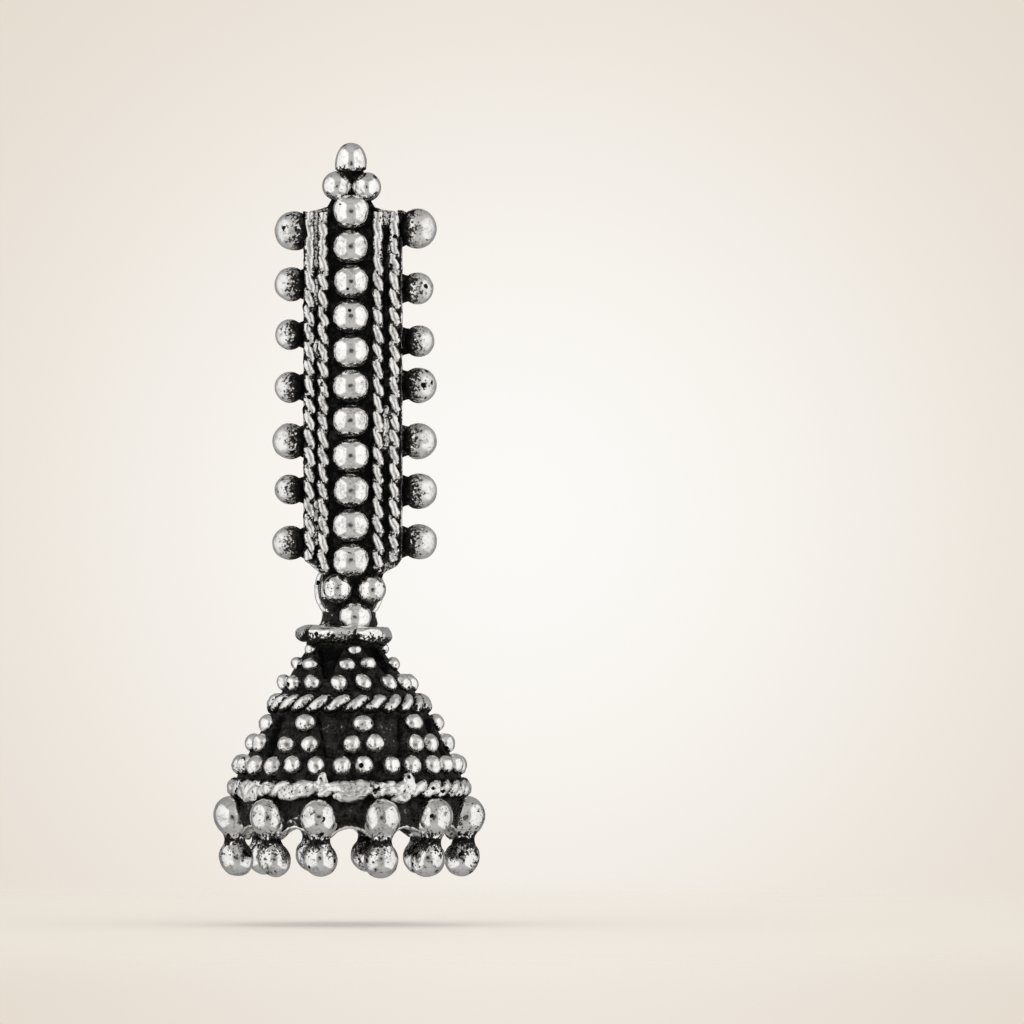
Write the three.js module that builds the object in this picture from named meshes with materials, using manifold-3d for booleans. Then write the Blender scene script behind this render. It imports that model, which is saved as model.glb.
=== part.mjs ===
import * as THREE from "three";
import { mergeVertices } from "three/addons/utils/BufferGeometryUtils.js";
import Module from "manifold-3d";

// A jhumka earring of oxidised cast silver: a beaded ear plate with its post, and a bell that
// hangs by its top ring from an eye on the back of the plate.
// Lengths are in millimetres. Z is up, the front faces -Y, and the origin is where the post leaves the
// back of the plate.

// Bar of the ear plate
const BAR_WIDTH = 7.4;
const BAR_HEIGHT = 26.8;
const PLATE_THICKNESS = 1.1;
const BAR_TOP_ABOVE_POST = 3.8;
const BAR_ASIDE = 0.15; // middle of the bar, to the right of the bead column
const CORNER_WIDTH = 1.9; // the lower corners are cut off by this much across
const CORNER_HEIGHT = 1.15;

// Column of large beads down the middle of the bar
const COLUMN_BEADS = 11;
const COLUMN_FIRST_DOWN = 0.05; // centre of the first bead below the bar's top edge
const COLUMN_LAST_UP = 0.72; // centre of the last bead above the bar's bottom edge
const COLUMN_BEAD_WIDTH = 2.7;
const COLUMN_BEAD_DEPTH = 2.4;
const COLUMN_BEAD_GAP = 0.28;

// Twisted wires beside the column, two on each side
const WIRE = 0.8;
const WIRE_STRAND = 1.3; // length of wire that one strand takes at the front
const WIRE_END_GAP = 0.15; // from the bar's top edge, and from its cut corners

// Beads on stubs along both edges of the bar
const SIDE_BEAD = 2.6;
const SIDE_REACH_LEFT = 1.0; // bead centre beyond the bar's edge
const SIDE_REACH_RIGHT = 1.24;
const STUB_HEIGHT = 1.7;

// Finial on top of the bar, and trefoil under it
const FINIAL_HEIGHT = 5.1;
const FINIAL_BEAD = 2.2;
const TREFOIL_HEIGHT = 4.2;
const TREFOIL_BEAD = 2.1;

// Eye on the back of the plate that the bell hangs from
const EYE_RADIUS = 0.95; // to the middle of its wire
const EYE_WIRE = 0.7;
const EYE_ABOVE_BAR_END = 0.78;
const EYE_ASIDE = -0.15;
const EYE_SINK = 0.3; // depth of its wire that is sunk in the plate's back

// Ear post
const POST_DIAMETER = 0.9;
const POST_LENGTH = 11;
const PAD_DIAMETER = 2.6;
const PAD_THICKNESS = 0.4;

// Ring, neck and collar on top of the bell
const RING_DIAMETER = 5.24; // over its wire
const RING_WIRE = 0.64;
const RING_GAP = 0.3; // between the ring's wire and the eye's lower leg
const COLLAR_BELOW_RING = 0.9; // middle of the collar, below the ring's lowest point
const COLLAR_DIAMETER = 7.3; // over the roll
const COLLAR_ROLL = 1.2; // thickness of the roll
const NECK_WIDTH = 3.8;
const NECK_TOP_WIDTH = 4.3; // where the neck fills the foot of the ring
const NECK_DEPTH = 1.2;

// Wall of the bell, from the middle of the collar to the rim
const BELL_RISE = 14.2;
const RIM_DIAMETER = 17.2;
const BELL_WALL = 1;
const WINDOW_DEPTH = 0.6; // the windows are sunk in the wall and not pierced
const BELL_BEAD = 1.3;
const UPPER_MOTIFS = 5;
const LOWER_MOTIFS = 9;
const ROPE = 1.45;
const UPPER_WINDOW_WIDTH = 2.1;
const LOWER_WINDOW_WIDTH = 2.6;
const WINDOW_FOOT = 0.25; // width of a window's lower end, as a share of its width

// Bead pairs along the rim
const RIM_PAIRS = 12;
const RIM_BEAD_WIDTH = 2.7;
const RIM_BEAD_HEIGHT = 2.88;
const RIM_BEAD_UP = 0.54; // centre above the rim's lower edge
const DROP_BEAD = 2.52;
const DROP_BELOW = 3.18; // from a rim bead's centre to its drop bead's
const DROP_INSET = 0.27;
const PAIR_OUTSET = 0.1; // rim bead's centre outside the rim
const DROP_NECK = 1.6;

// Fineness of the round shapes
const BEAD_SIDES = 10;
const BEAD_BANDS = 5;
const SMALL_BEAD_SIDES = 10;
const WALL_SIDES = 24;
const STUB_SIDES = 8;
const LINK_SIDES = 6;
const EYE_STEPS = 14;
const RING_STEPS = 20;
const COLLAR_SIDES = 6;
const COLLAR_STEPS = 24;
const NECK_SIDES = 16;
const POST_SIDES = 14;
const WELD = 1e-4; // corners nearer than this are one corner

// Proportions of the pieces that carry others
const TAB_SHARE = 0.8; // thickness of the finial's and trefoil's backing in the bar's
const STUB_DEPTH = 0.85; // depth of a side bead's stub in the plate's thickness
const NECK_RISE = 1.35; // top of the neck above the middle of the ring's lowest wire
const NECK_WAIST = 0.4; // narrowest place of the neck, as a share of the way up from the collar
const NECK_FLARE = 0.72; // width of the neck above the collar, as a share of the collar's
const NECK_FLARE_UP = 0.14; // place of that width, as a share of the way up
const COLLAR_TOP_UP = 0.35; // flat top of the bell above the collar's middle, as a share of the roll

// Places and sizes are shares of the finial's or trefoil's height and of its bead
const FINIAL_BEADS = [
  { across: -0.229, up: 0.369, wide: 0.95, tall: 0.95 },
  { across: 0.237, up: 0.353, wide: 0.95, tall: 0.95 },
  { across: 0, up: 0.77, wide: 1.09, tall: 1.06 },
];
const FINIAL_TAB = [
  { across: 0.31, up: -0.1 },
  { across: 0.3, up: 0.1 },
  { across: 0.24, up: 0.45 },
  { across: 0.1, up: 0.8 },
];
const TREFOIL_BEADS = [
  { across: -0.236, down: 0.33, wide: 1.02, tall: 1.02 },
  { across: 0.369, down: 0.35, wide: 0.96, tall: 0.96 },
  { across: 0.08, down: 0.786, wide: 1.1, tall: 0.86 },
];
const TREFOIL_TAB = [
  { left: -0.4, right: 0.48, down: -0.1 },
  { left: -0.38, right: 0.48, down: 0.38 },
  { left: -0.12, right: 0.26, down: 0.82 },
];

// Side beads: place down the bar as a share of its height, and size as a share of SIDE_BEAD
const SIDE_BEADS_LEFT = [
  { down: 0.055, size: 1.12 },
  { down: 0.204, size: 0.98 },
  { down: 0.344, size: 0.87 },
  { down: 0.492, size: 0.88 },
  { down: 0.642, size: 1.03 },
  { down: 0.777, size: 0.87 },
  { down: 0.926, size: 0.99 },
];
const SIDE_BEADS_RIGHT = [
  { down: 0.049, size: 1.14 },
  { down: 0.216, size: 0.92 },
  { down: 0.363, size: 0.9 },
  { down: 0.486, size: 1.01 },
  { down: 0.642, size: 1.03 },
  { down: 0.781, size: 1.03 },
  { down: 0.923, size: 1.02 },
];

// Twisted wires: place across the bar from its middle, as a share of its width
const WIRES = [{ across: -0.439 }, { across: -0.303 }, { across: 0.253 }, { across: 0.419 }];

// Outside of the bell's wall where it bends: shares of BELL_RISE down from the collar, and of the
// rim's radius
const WALL = [
  { down: 0, out: 0.32 },
  { down: 0.06, out: 0.325 },
  { down: 0.356, out: 0.65 },
  { down: 0.735, out: 0.978 },
  { down: 1, out: 1 },
];

// Twisted ropes round the bell, from the place down the wall to the number of strands
const ROPES = [
  { down: 0.356, strands: 27 },
  { down: 0.796, strands: 36 },
];

// Rows of small beads: place down the wall, beads in each motif, how far apart they are as a share
// of the motif, and size as shares of BELL_BEAD
const UPPER_ROWS = [
  { down: 0.067, beads: 1, apart: 0, wide: 0.8, tall: 0.64 },
  { down: 0.146, beads: 2, apart: 0.365, wide: 1.02, tall: 0.76 },
  { down: 0.246, beads: 3, apart: 0.31, wide: 1.02, tall: 1.02 },
];
const LOWER_ROWS = [
  { down: 0.456, beads: 1, apart: 0, wide: 1.25, tall: 0.96 },
  { down: 0.563, beads: 2, apart: 0.375, wide: 1.06, tall: 1.04 },
  { down: 0.676, beads: 3, apart: 0.325, wide: 1.09, tall: 1.09 },
];

// Windows: from and to, as shares of BELL_RISE down from the collar
const UPPER_WINDOW = { from: 0.05, to: 0.212 };
const LOWER_WINDOW = { from: 0.412, to: 0.625 };

// Outline of a small bead of unit width, from its sunk end to the top of its dome
const SMALL_BEAD = [
  new THREE.Vector2(0, -0.2),
  new THREE.Vector2(0.55, -0.2),
  new THREE.Vector2(0.35, 0.36),
  new THREE.Vector2(0, 0.5),
];

// Section of a rope in shares of its thickness: out from the wall, up along it, and how deep the
// groove between two strands is there
const ROPE_SECTION = [
  { out: -0.4, up: -0.42, groove: 0 },
  { out: 0.22, up: -0.42, groove: 0.1 },
  { out: 0.5, up: 0, groove: 0.2 },
  { out: 0.22, up: 0.42, groove: 0.1 },
  { out: -0.4, up: 0.42, groove: 0 },
];
const ROPE_SLANT = 0.8; // strands that one strand passes on its way up the rope
const WIRE_SLANT = 0.7; // fall of a strand across a straight wire, as a share of its thickness

// Turns about the bell's axis, from straight ahead towards +X
const UPPER_TURN = THREE.MathUtils.degToRad(14);
const LOWER_TURN = THREE.MathUtils.degToRad(9.3);
const PAIR_TURN = THREE.MathUtils.degToRad(16.3);

// Sizes that follow from the ones above
const FULL_TURN = 2 * Math.PI;
const BAR_TOP = BAR_TOP_ABOVE_POST;
const BAR_END = BAR_TOP - BAR_HEIGHT;
const BAR_LEFT = BAR_ASIDE - BAR_WIDTH / 2;
const BAR_RIGHT = BAR_ASIDE + BAR_WIDTH / 2;
const COLUMN_PITCH = (BAR_HEIGHT - COLUMN_FIRST_DOWN - COLUMN_LAST_UP) / (COLUMN_BEADS - 1);
const EYE_Z = BAR_END + EYE_ABOVE_BAR_END;
const RING_RADIUS = (RING_DIAMETER - RING_WIRE) / 2;
// The bell swings about this height
const RING_TOP = EYE_Z - EYE_RADIUS + (EYE_WIRE + RING_WIRE) / 2 + RING_GAP;
const RING_Z = RING_TOP - RING_RADIUS;
const COLLAR_Z = RING_Z - RING_DIAMETER / 2 - COLLAR_BELOW_RING;
const COLLAR_TOP = COLLAR_Z + COLLAR_ROLL * COLLAR_TOP_UP;
const COLLAR_MIDDLE = (COLLAR_DIAMETER - COLLAR_ROLL) / 2;
const RIM_RADIUS = RIM_DIAMETER / 2;
const RIM_Z = COLLAR_Z - BELL_RISE;
const PAIR_RADIUS = RIM_RADIUS + PAIR_OUTSET;
const BELL_DEPTH = EYE_RADIUS + EYE_WIRE / 2 - EYE_SINK; // the bell's axis behind the plate's back

const wasm = await Module();
wasm.setup();

// A closed geometry as a solid that can be joined and cut
function solid(geometry) {
  geometry.deleteAttribute("normal");
  geometry.deleteAttribute("uv");
  const merged = mergeVertices(geometry, WELD);
  return new wasm.Manifold(
    new wasm.Mesh({
      numProp: 3,
      vertProperties: new Float32Array(merged.getAttribute("position").array),
      triVerts: new Uint32Array(merged.index.array),
    }),
  );
}

// All solids of a list joined into one
function joined(solids) {
  return solids.reduce((whole, next) => whole.add(next));
}

// A solid as a named mesh
function piece(name, body, material) {
  const made = body.getMesh();
  const geometry = new THREE.BufferGeometry();
  geometry.setAttribute("position", new THREE.BufferAttribute(made.vertProperties, 3));
  geometry.setIndex(new THREE.BufferAttribute(made.triVerts, 1));
  geometry.computeVertexNormals();
  const mesh = new THREE.Mesh(geometry, material);
  mesh.name = name;
  return mesh;
}

// Moves every vertex of a geometry by a rule that takes its place and its number
function reshaped(geometry, rule) {
  const place = geometry.getAttribute("position");
  for (let n = 0; n < place.count; n++) {
    const at = rule(new THREE.Vector3().fromBufferAttribute(place, n), n);
    place.setXYZ(n, at.x, at.y, at.z);
  }
  return geometry;
}

// Turns a shape drawn in X and Y to stand in X and Z, its extrusion running to the front
function standing(geometry) {
  return reshaped(geometry, (at) => new THREE.Vector3(at.x, -at.z, at.y));
}

// A plate between its back at y = 0 and its front, from an outline of corners in X and Z
function plate(corners, thickness) {
  const outline = new THREE.Shape(corners.map((corner) => new THREE.Vector2(...corner)));
  return solid(standing(new THREE.ExtrudeGeometry(outline, { depth: thickness, bevelEnabled: false })));
}

// An oval bead with its poles above and below
function bead(x, y, z, wide, deep, tall) {
  const ball = new THREE.SphereGeometry(0.5, BEAD_SIDES, BEAD_BANDS);
  return solid(standing(ball).scale(wide, deep, tall).translate(x, y, z));
}

// Height of the bar's lower edge, which rises at the cut corners
function barEdge(x) {
  const inside = Math.min(x - BAR_LEFT, BAR_RIGHT - x) / CORNER_WIDTH;
  return BAR_END + CORNER_HEIGHT * Math.max(0, 1 - inside);
}

// A straight twisted wire on the plate's front: a raised strip whose strands slant downwards to the right
function straightWire(x) {
  const low = barEdge(x) + WIRE_END_GAP;
  const length = BAR_TOP - WIRE_END_GAP - low - WIRE * WIRE_SLANT;
  const strands = Math.round(length / WIRE_STRAND);
  const corners = ROPE_SECTION.map((row) => new THREE.Vector2(row.up * WIRE, -row.out * WIRE));
  const options = { depth: length, steps: 2 * strands, bevelEnabled: false };
  const wire = new THREE.ExtrudeGeometry(new THREE.Shape(corners), options);
  const step = length / (2 * strands);
  reshaped(wire, (at) => {
    const hollow = Math.round(at.z / step) % 2 === 1;
    const row = ROPE_SECTION.find((r) => Math.hypot(r.up * WIRE - at.x, r.out * WIRE + at.y) < WELD);
    const groove = hollow ? row.groove * WIRE : 0;
    return new THREE.Vector3(at.x, at.y + groove, low + at.z + WIRE * WIRE_SLANT * (0.5 - row.up));
  });
  return solid(wire.translate(x, -PLATE_THICKNESS, 0));
}

// A rope round the bell: a raised band, flat above and below, whose strands slant upwards to the right
function ropeRing(place, strands) {
  const points = [...ROPE_SECTION, ROPE_SECTION[0]].map((row) => {
    const slope = place.facing.y / place.facing.x;
    const up = row.up * ROPE;
    return new THREE.Vector2(place.radius - up * slope + row.out * ROPE, place.z + up);
  });
  const ring = new THREE.LatheGeometry(points, 2 * strands);
  const axis = new THREE.Vector3(0, 1, 0);
  reshaped(ring, (at, n) => {
    const hollow = Math.floor(n / points.length) % 2 === 1;
    const row = ROPE_SECTION[n % points.length] ?? ROPE_SECTION[0];
    const out = Math.hypot(at.x, at.z);
    const share = hollow ? 1 - (row.groove * ROPE) / out : 1;
    const turn = (FULL_TURN / strands) * ROPE_SLANT * row.up;
    return new THREE.Vector3(at.x * share, at.y, at.z * share).applyAxisAngle(axis, turn);
  });
  return solid(standing(ring));
}

// Bar, tabs, column and side beads, wires and eye, cast and soldered as one piece
function earPlate() {
  const bar = plate(
    [
      [BAR_LEFT, BAR_TOP],
      [BAR_LEFT, BAR_END + CORNER_HEIGHT],
      [BAR_LEFT + CORNER_WIDTH, BAR_END],
      [BAR_RIGHT - CORNER_WIDTH, BAR_END],
      [BAR_RIGHT, BAR_END + CORNER_HEIGHT],
      [BAR_RIGHT, BAR_TOP],
    ],
    PLATE_THICKNESS,
  );
  const tabThickness = PLATE_THICKNESS * TAB_SHARE;
  const finialSide = (side) => (row) => [
    side * row.across * FINIAL_HEIGHT,
    BAR_TOP + row.up * FINIAL_HEIGHT,
  ];
  const finialTab = plate(
    [...FINIAL_TAB.map(finialSide(-1)).reverse(), ...FINIAL_TAB.map(finialSide(1))],
    tabThickness,
  );
  const trefoilSide = (side) => (row) => [row[side] * TREFOIL_HEIGHT, BAR_END - row.down * TREFOIL_HEIGHT];
  const trefoilTab = plate(
    [...TREFOIL_TAB.map(trefoilSide("left")), ...TREFOIL_TAB.map(trefoilSide("right")).reverse()],
    tabThickness,
  );
  const column = Array.from({ length: COLUMN_BEADS }, (_, n) =>
    bead(
      0,
      -PLATE_THICKNESS,
      BAR_TOP - COLUMN_FIRST_DOWN - n * COLUMN_PITCH,
      COLUMN_BEAD_WIDTH,
      COLUMN_BEAD_DEPTH,
      COLUMN_PITCH - COLUMN_BEAD_GAP,
    ),
  );
  const finial = FINIAL_BEADS.map((row) =>
    bead(
      row.across * FINIAL_HEIGHT,
      -tabThickness,
      BAR_TOP + row.up * FINIAL_HEIGHT,
      row.wide * FINIAL_BEAD,
      FINIAL_BEAD,
      row.tall * FINIAL_BEAD,
    ),
  );
  const trefoil = TREFOIL_BEADS.map((row) =>
    bead(
      row.across * TREFOIL_HEIGHT,
      -tabThickness,
      BAR_END - row.down * TREFOIL_HEIGHT,
      row.wide * TREFOIL_BEAD,
      TREFOIL_BEAD,
      row.tall * TREFOIL_BEAD,
    ),
  );
  const wires = WIRES.map((row) => straightWire(BAR_ASIDE + row.across * BAR_WIDTH));
  const sides = [
    ...SIDE_BEADS_LEFT.map((row) => sideBead(BAR_LEFT, -1, SIDE_REACH_LEFT, row)),
    ...SIDE_BEADS_RIGHT.map((row) => sideBead(BAR_RIGHT, 1, SIDE_REACH_RIGHT, row)),
  ];
  const eye = new THREE.TorusGeometry(EYE_RADIUS, EYE_WIRE / 2, LINK_SIDES, EYE_STEPS);
  eye.rotateY(Math.PI / 2).translate(EYE_ASIDE, BELL_DEPTH, EYE_Z);
  const beads = [...column, ...finial, ...trefoil, ...sides];
  return joined([bar, finialTab, trefoilTab, ...beads, ...wires, solid(eye)]);
}

// A bead at the bar's edge with the stub that carries it
function sideBead(edge, side, reach, row) {
  const z = BAR_TOP - row.down * BAR_HEIGHT;
  const size = row.size * SIDE_BEAD;
  const y = -PLATE_THICKNESS / 2;
  const stub = new THREE.CylinderGeometry(0.5, 0.5, 2 * reach, STUB_SIDES);
  stub.rotateZ(Math.PI / 2).scale(1, STUB_DEPTH * PLATE_THICKNESS, STUB_HEIGHT).translate(edge, y, z);
  return bead(edge + side * reach, y, z, size, size, size).add(solid(stub));
}

// Pad and pin, in one piece, standing on the plate's back
function earPost() {
  const pad = PAD_DIAMETER / 2;
  const pin = POST_DIAMETER / 2;
  const profile = [
    [0, 0],
    [pad, 0],
    [pad, PAD_THICKNESS],
    [pin, PAD_THICKNESS],
    [pin, POST_LENGTH - pin],
    [pin / 2, POST_LENGTH],
    [0, POST_LENGTH],
  ];
  const points = profile.map(([out, along]) => new THREE.Vector2(out, along));
  return solid(new THREE.LatheGeometry(points, POST_SIDES));
}

// Outside of the bell's wall at one height: its radius, its height, and the way it faces
function wallAt(down) {
  const n = Math.max(1, WALL.findIndex((bend) => bend.down >= down));
  const [above, below] = [WALL[n - 1], WALL[n]];
  const share = (down - above.down) / (below.down - above.down);
  const rise = (below.down - above.down) * BELL_RISE;
  const spread = (below.out - above.out) * RIM_RADIUS;
  return {
    radius: (above.out + share * (below.out - above.out)) * RIM_RADIUS,
    z: COLLAR_Z - down * BELL_RISE,
    facing: new THREE.Vector2(rise, spread).normalize(),
  };
}

// The bell's wall: closed on top, open below
function bellWall() {
  const outside = WALL.map((bend) => wallAt(bend.down));
  const inside = outside.slice(1).map((at, n) => {
    const next = outside[Math.min(n + 2, outside.length - 1)];
    const facing = at.facing.clone().add(next.facing).normalize();
    const depth = BELL_WALL / facing.dot(at.facing);
    return [at.radius - facing.x * depth, at.z - facing.y * depth];
  });
  inside.at(-1)[1] = RIM_Z;
  const profile = [
    [0, inside[0][1]],
    ...inside,
    ...outside.map((at) => [at.radius, at.z]).reverse(),
    [COLLAR_MIDDLE, COLLAR_TOP],
    [0, COLLAR_TOP],
  ];
  const points = profile.map(([out, z]) => new THREE.Vector2(out, z));
  return solid(standing(new THREE.LatheGeometry(points, WALL_SIDES)));
}

// A sunk window of the wall, wide above and narrow below, cut square to the wall
function windowCut(turn, width, from, to) {
  const middle = wallAt((from + to) / 2);
  const half = ((to - from) * BELL_RISE) / middle.facing.x / 2;
  const outline = new THREE.Shape([
    new THREE.Vector2(-width / 2, half),
    new THREE.Vector2((-width / 2) * WINDOW_FOOT, -half),
    new THREE.Vector2((width / 2) * WINDOW_FOOT, -half),
    new THREE.Vector2(width / 2, half),
  ]);
  const cut = new THREE.ExtrudeGeometry(outline, { depth: 2 * BELL_WALL, bevelEnabled: false });
  cut.translate(0, 0, -WINDOW_DEPTH).rotateX(-Math.atan2(middle.facing.y, middle.facing.x));
  return solid(standing(cut.translate(0, middle.z, middle.radius)).rotateZ(turn));
}

// A ring of small beads in motifs, each half sunk in the wall
function beadRow(row, motifs, turn) {
  const at = wallAt(row.down);
  return Array.from({ length: motifs * row.beads }, (_, n) => {
    const motif = Math.floor(n / row.beads);
    const offset = ((n % row.beads) - (row.beads - 1) / 2) * row.apart;
    const around = turn + ((motif + offset) * FULL_TURN) / motifs;
    const out = new THREE.Vector3(Math.sin(around), -Math.cos(around), 0);
    const across = new THREE.Vector3(Math.cos(around), Math.sin(around), 0);
    const facing = out.clone().multiplyScalar(at.facing.x).setZ(at.facing.y);
    const along = new THREE.Vector3().crossVectors(across, facing);
    const ball = new THREE.LatheGeometry(SMALL_BEAD, SMALL_BEAD_SIDES);
    ball.scale(row.wide * BELL_BEAD, row.tall * BELL_BEAD, row.tall * BELL_BEAD);
    ball.applyMatrix4(new THREE.Matrix4().makeBasis(across, facing, along));
    return solid(ball.translate(out.x * at.radius, out.y * at.radius, at.z));
  });
}

// A large bead on the rim with the drop bead that hangs below it on a neck, turned in one outline
function rimPair(around) {
  const arc = (radius, tall, middle, from, to) =>
    Array.from({ length: BEAD_BANDS }, (_, n) => {
      const angle = from + ((to - from) * n) / (BEAD_BANDS - 1);
      return new THREE.Vector2(radius * Math.sin(angle), middle - (tall / 2) * Math.cos(angle));
    });
  const [wide, drop, neck] = [RIM_BEAD_WIDTH / 2, DROP_BEAD / 2, DROP_NECK / 2];
  const points = [
    ...arc(drop, DROP_BEAD, -DROP_BELOW, 0, Math.PI - Math.asin(neck / drop)),
    ...arc(wide, RIM_BEAD_HEIGHT, 0, Math.asin(neck / wide), Math.PI),
  ];
  points[0].x = 0;
  points.at(-1).x = 0;
  const pair = standing(new THREE.LatheGeometry(points, BEAD_SIDES));
  reshaped(pair, (at) => at.setY(at.y - (at.z / DROP_BELOW) * DROP_INSET));
  return solid(pair.translate(0, -PAIR_RADIUS, RIM_Z + RIM_BEAD_UP).rotateZ(around));
}

// The bell with its collar, neck and ring, as one cast piece
function bell() {
  const windows = (motifs, turn, width, from, to) =>
    Array.from({ length: motifs }, (_, n) => {
      const around = turn + ((n + 0.5) * FULL_TURN) / motifs;
      return windowCut(around, width, from, to);
    });
  const wall = [
    ...windows(UPPER_MOTIFS, UPPER_TURN, UPPER_WINDOW_WIDTH, UPPER_WINDOW.from, UPPER_WINDOW.to),
    ...windows(LOWER_MOTIFS, LOWER_TURN, LOWER_WINDOW_WIDTH, LOWER_WINDOW.from, LOWER_WINDOW.to),
  ].reduce((left, cut) => left.subtract(cut), bellWall());

  const collar = new THREE.TorusGeometry(COLLAR_MIDDLE, COLLAR_ROLL / 2, COLLAR_SIDES, COLLAR_STEPS);
  const ring = new THREE.TorusGeometry(RING_RADIUS, RING_WIRE / 2, LINK_SIDES, RING_STEPS);
  const neckTop = RING_Z - RING_RADIUS + NECK_RISE;
  const neckUp = (share) => COLLAR_TOP + (neckTop - COLLAR_TOP) * share;
  const neckProfile = [
    [0, COLLAR_Z],
    [COLLAR_MIDDLE, COLLAR_Z],
    [COLLAR_MIDDLE * NECK_FLARE, neckUp(NECK_FLARE_UP)],
    [NECK_WIDTH / 2, neckUp(NECK_WAIST)],
    [NECK_TOP_WIDTH / 2, neckTop],
    [0, neckTop],
  ];
  const neckPoints = neckProfile.map(([out, z]) => new THREE.Vector2(out, z));
  const neck = standing(new THREE.LatheGeometry(neckPoints, NECK_SIDES));
  neck.scale(1, NECK_DEPTH / NECK_WIDTH, 1);
  const whole = joined([
    wall,
    solid(collar.translate(0, 0, COLLAR_Z)),
    solid(neck),
    solid(ring.rotateX(Math.PI / 2).translate(0, 0, RING_Z)),
    ...ROPES.map((row) => ropeRing(wallAt(row.down), row.strands)),
    ...UPPER_ROWS.flatMap((row) => beadRow(row, UPPER_MOTIFS, UPPER_TURN)),
    ...LOWER_ROWS.flatMap((row) => beadRow(row, LOWER_MOTIFS, LOWER_TURN)),
    ...Array.from({ length: RIM_PAIRS }, (_, n) => rimPair(PAIR_TURN + (n * FULL_TURN) / RIM_PAIRS)),
  ]);
  return whole;
}

const castSilver = new THREE.MeshStandardMaterial({ color: 0xa9a7a2, roughness: 0.32, metalness: 1 });
const darkSilver = new THREE.MeshStandardMaterial({ color: 0x8d8b87, roughness: 0.4, metalness: 1 });
const plainSilver = new THREE.MeshStandardMaterial({ color: 0xc6c4bf, roughness: 0.25, metalness: 1 });

const earring = new THREE.Group();
earring.add(piece("ear_plate", earPlate(), castSilver));
earring.add(piece("ear_post", earPost(), plainSilver));
const hangingBell = piece("bell", bell(), darkSilver);
hangingBell.position.set(EYE_ASIDE, BELL_DEPTH, 0);
earring.add(hangingBell);

export default earring;
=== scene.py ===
"""Looks of a jhumka earring of oxidised cast silver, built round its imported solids.

Lengths are in millimetres until a piece is finished, when its mesh is turned to metres. X runs to
the right, Y to the back and Z up, and the origin is where the post leaves the back of the plate.
"""

import logging
import math
from dataclasses import dataclass
from enum import Enum
from typing import Any, Callable

import bmesh
import bpy
import numpy as np
from mathutils import Matrix, Vector


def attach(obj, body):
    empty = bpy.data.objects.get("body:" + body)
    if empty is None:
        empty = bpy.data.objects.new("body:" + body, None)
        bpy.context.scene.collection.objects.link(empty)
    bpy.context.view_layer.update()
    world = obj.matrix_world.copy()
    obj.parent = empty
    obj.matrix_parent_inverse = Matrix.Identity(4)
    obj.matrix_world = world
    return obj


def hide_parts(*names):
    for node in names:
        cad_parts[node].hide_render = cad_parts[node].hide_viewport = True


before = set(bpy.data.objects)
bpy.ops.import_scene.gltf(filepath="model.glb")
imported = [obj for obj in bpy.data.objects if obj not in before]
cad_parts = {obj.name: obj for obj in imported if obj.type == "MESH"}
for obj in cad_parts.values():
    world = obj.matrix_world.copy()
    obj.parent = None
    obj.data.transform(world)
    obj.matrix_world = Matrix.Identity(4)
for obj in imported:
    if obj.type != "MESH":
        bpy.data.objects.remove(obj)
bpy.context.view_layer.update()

METRES = 0.001
FULL_TURN = 2 * math.pi
WORN = "worn"
TONE = "tone"
Wear = Callable[[np.ndarray], np.ndarray]
Row = tuple[Vector, Vector, Vector]  # place, size and turn of a copied part
log = logging.getLogger("jhumka")


class Slot(Enum):
    """Material slots of the record."""

    PLATE = "plate_silver"
    POST = "post_silver"
    BELL = "bell_silver"


class Body(Enum):
    """Moving bodies of the record."""

    PLATE = "plate"
    BELL = "hanging_bell"


def eased(low: float, high: float, value: np.ndarray) -> np.ndarray:
    """Smooth step of a value from 0 at low to 1 at high."""
    share = np.clip((value - low) / (high - low), 0, 1)
    return share * share * (3 - 2 * share)


def even(worn: float) -> Wear:
    """The same wear at every corner."""
    return lambda at: np.full(len(at), worn)


def steps_round(count: int) -> np.ndarray:
    """Even steps round a full turn, without its end."""
    return np.linspace(0, FULL_TURN, count, endpoint=False)


def linked(name: str, data: Any) -> bpy.types.Object:
    """A new object of some data, in the scene."""
    made = bpy.data.objects.new(name, data)
    bpy.context.scene.collection.objects.link(made)
    return made


# Nodes


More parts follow.
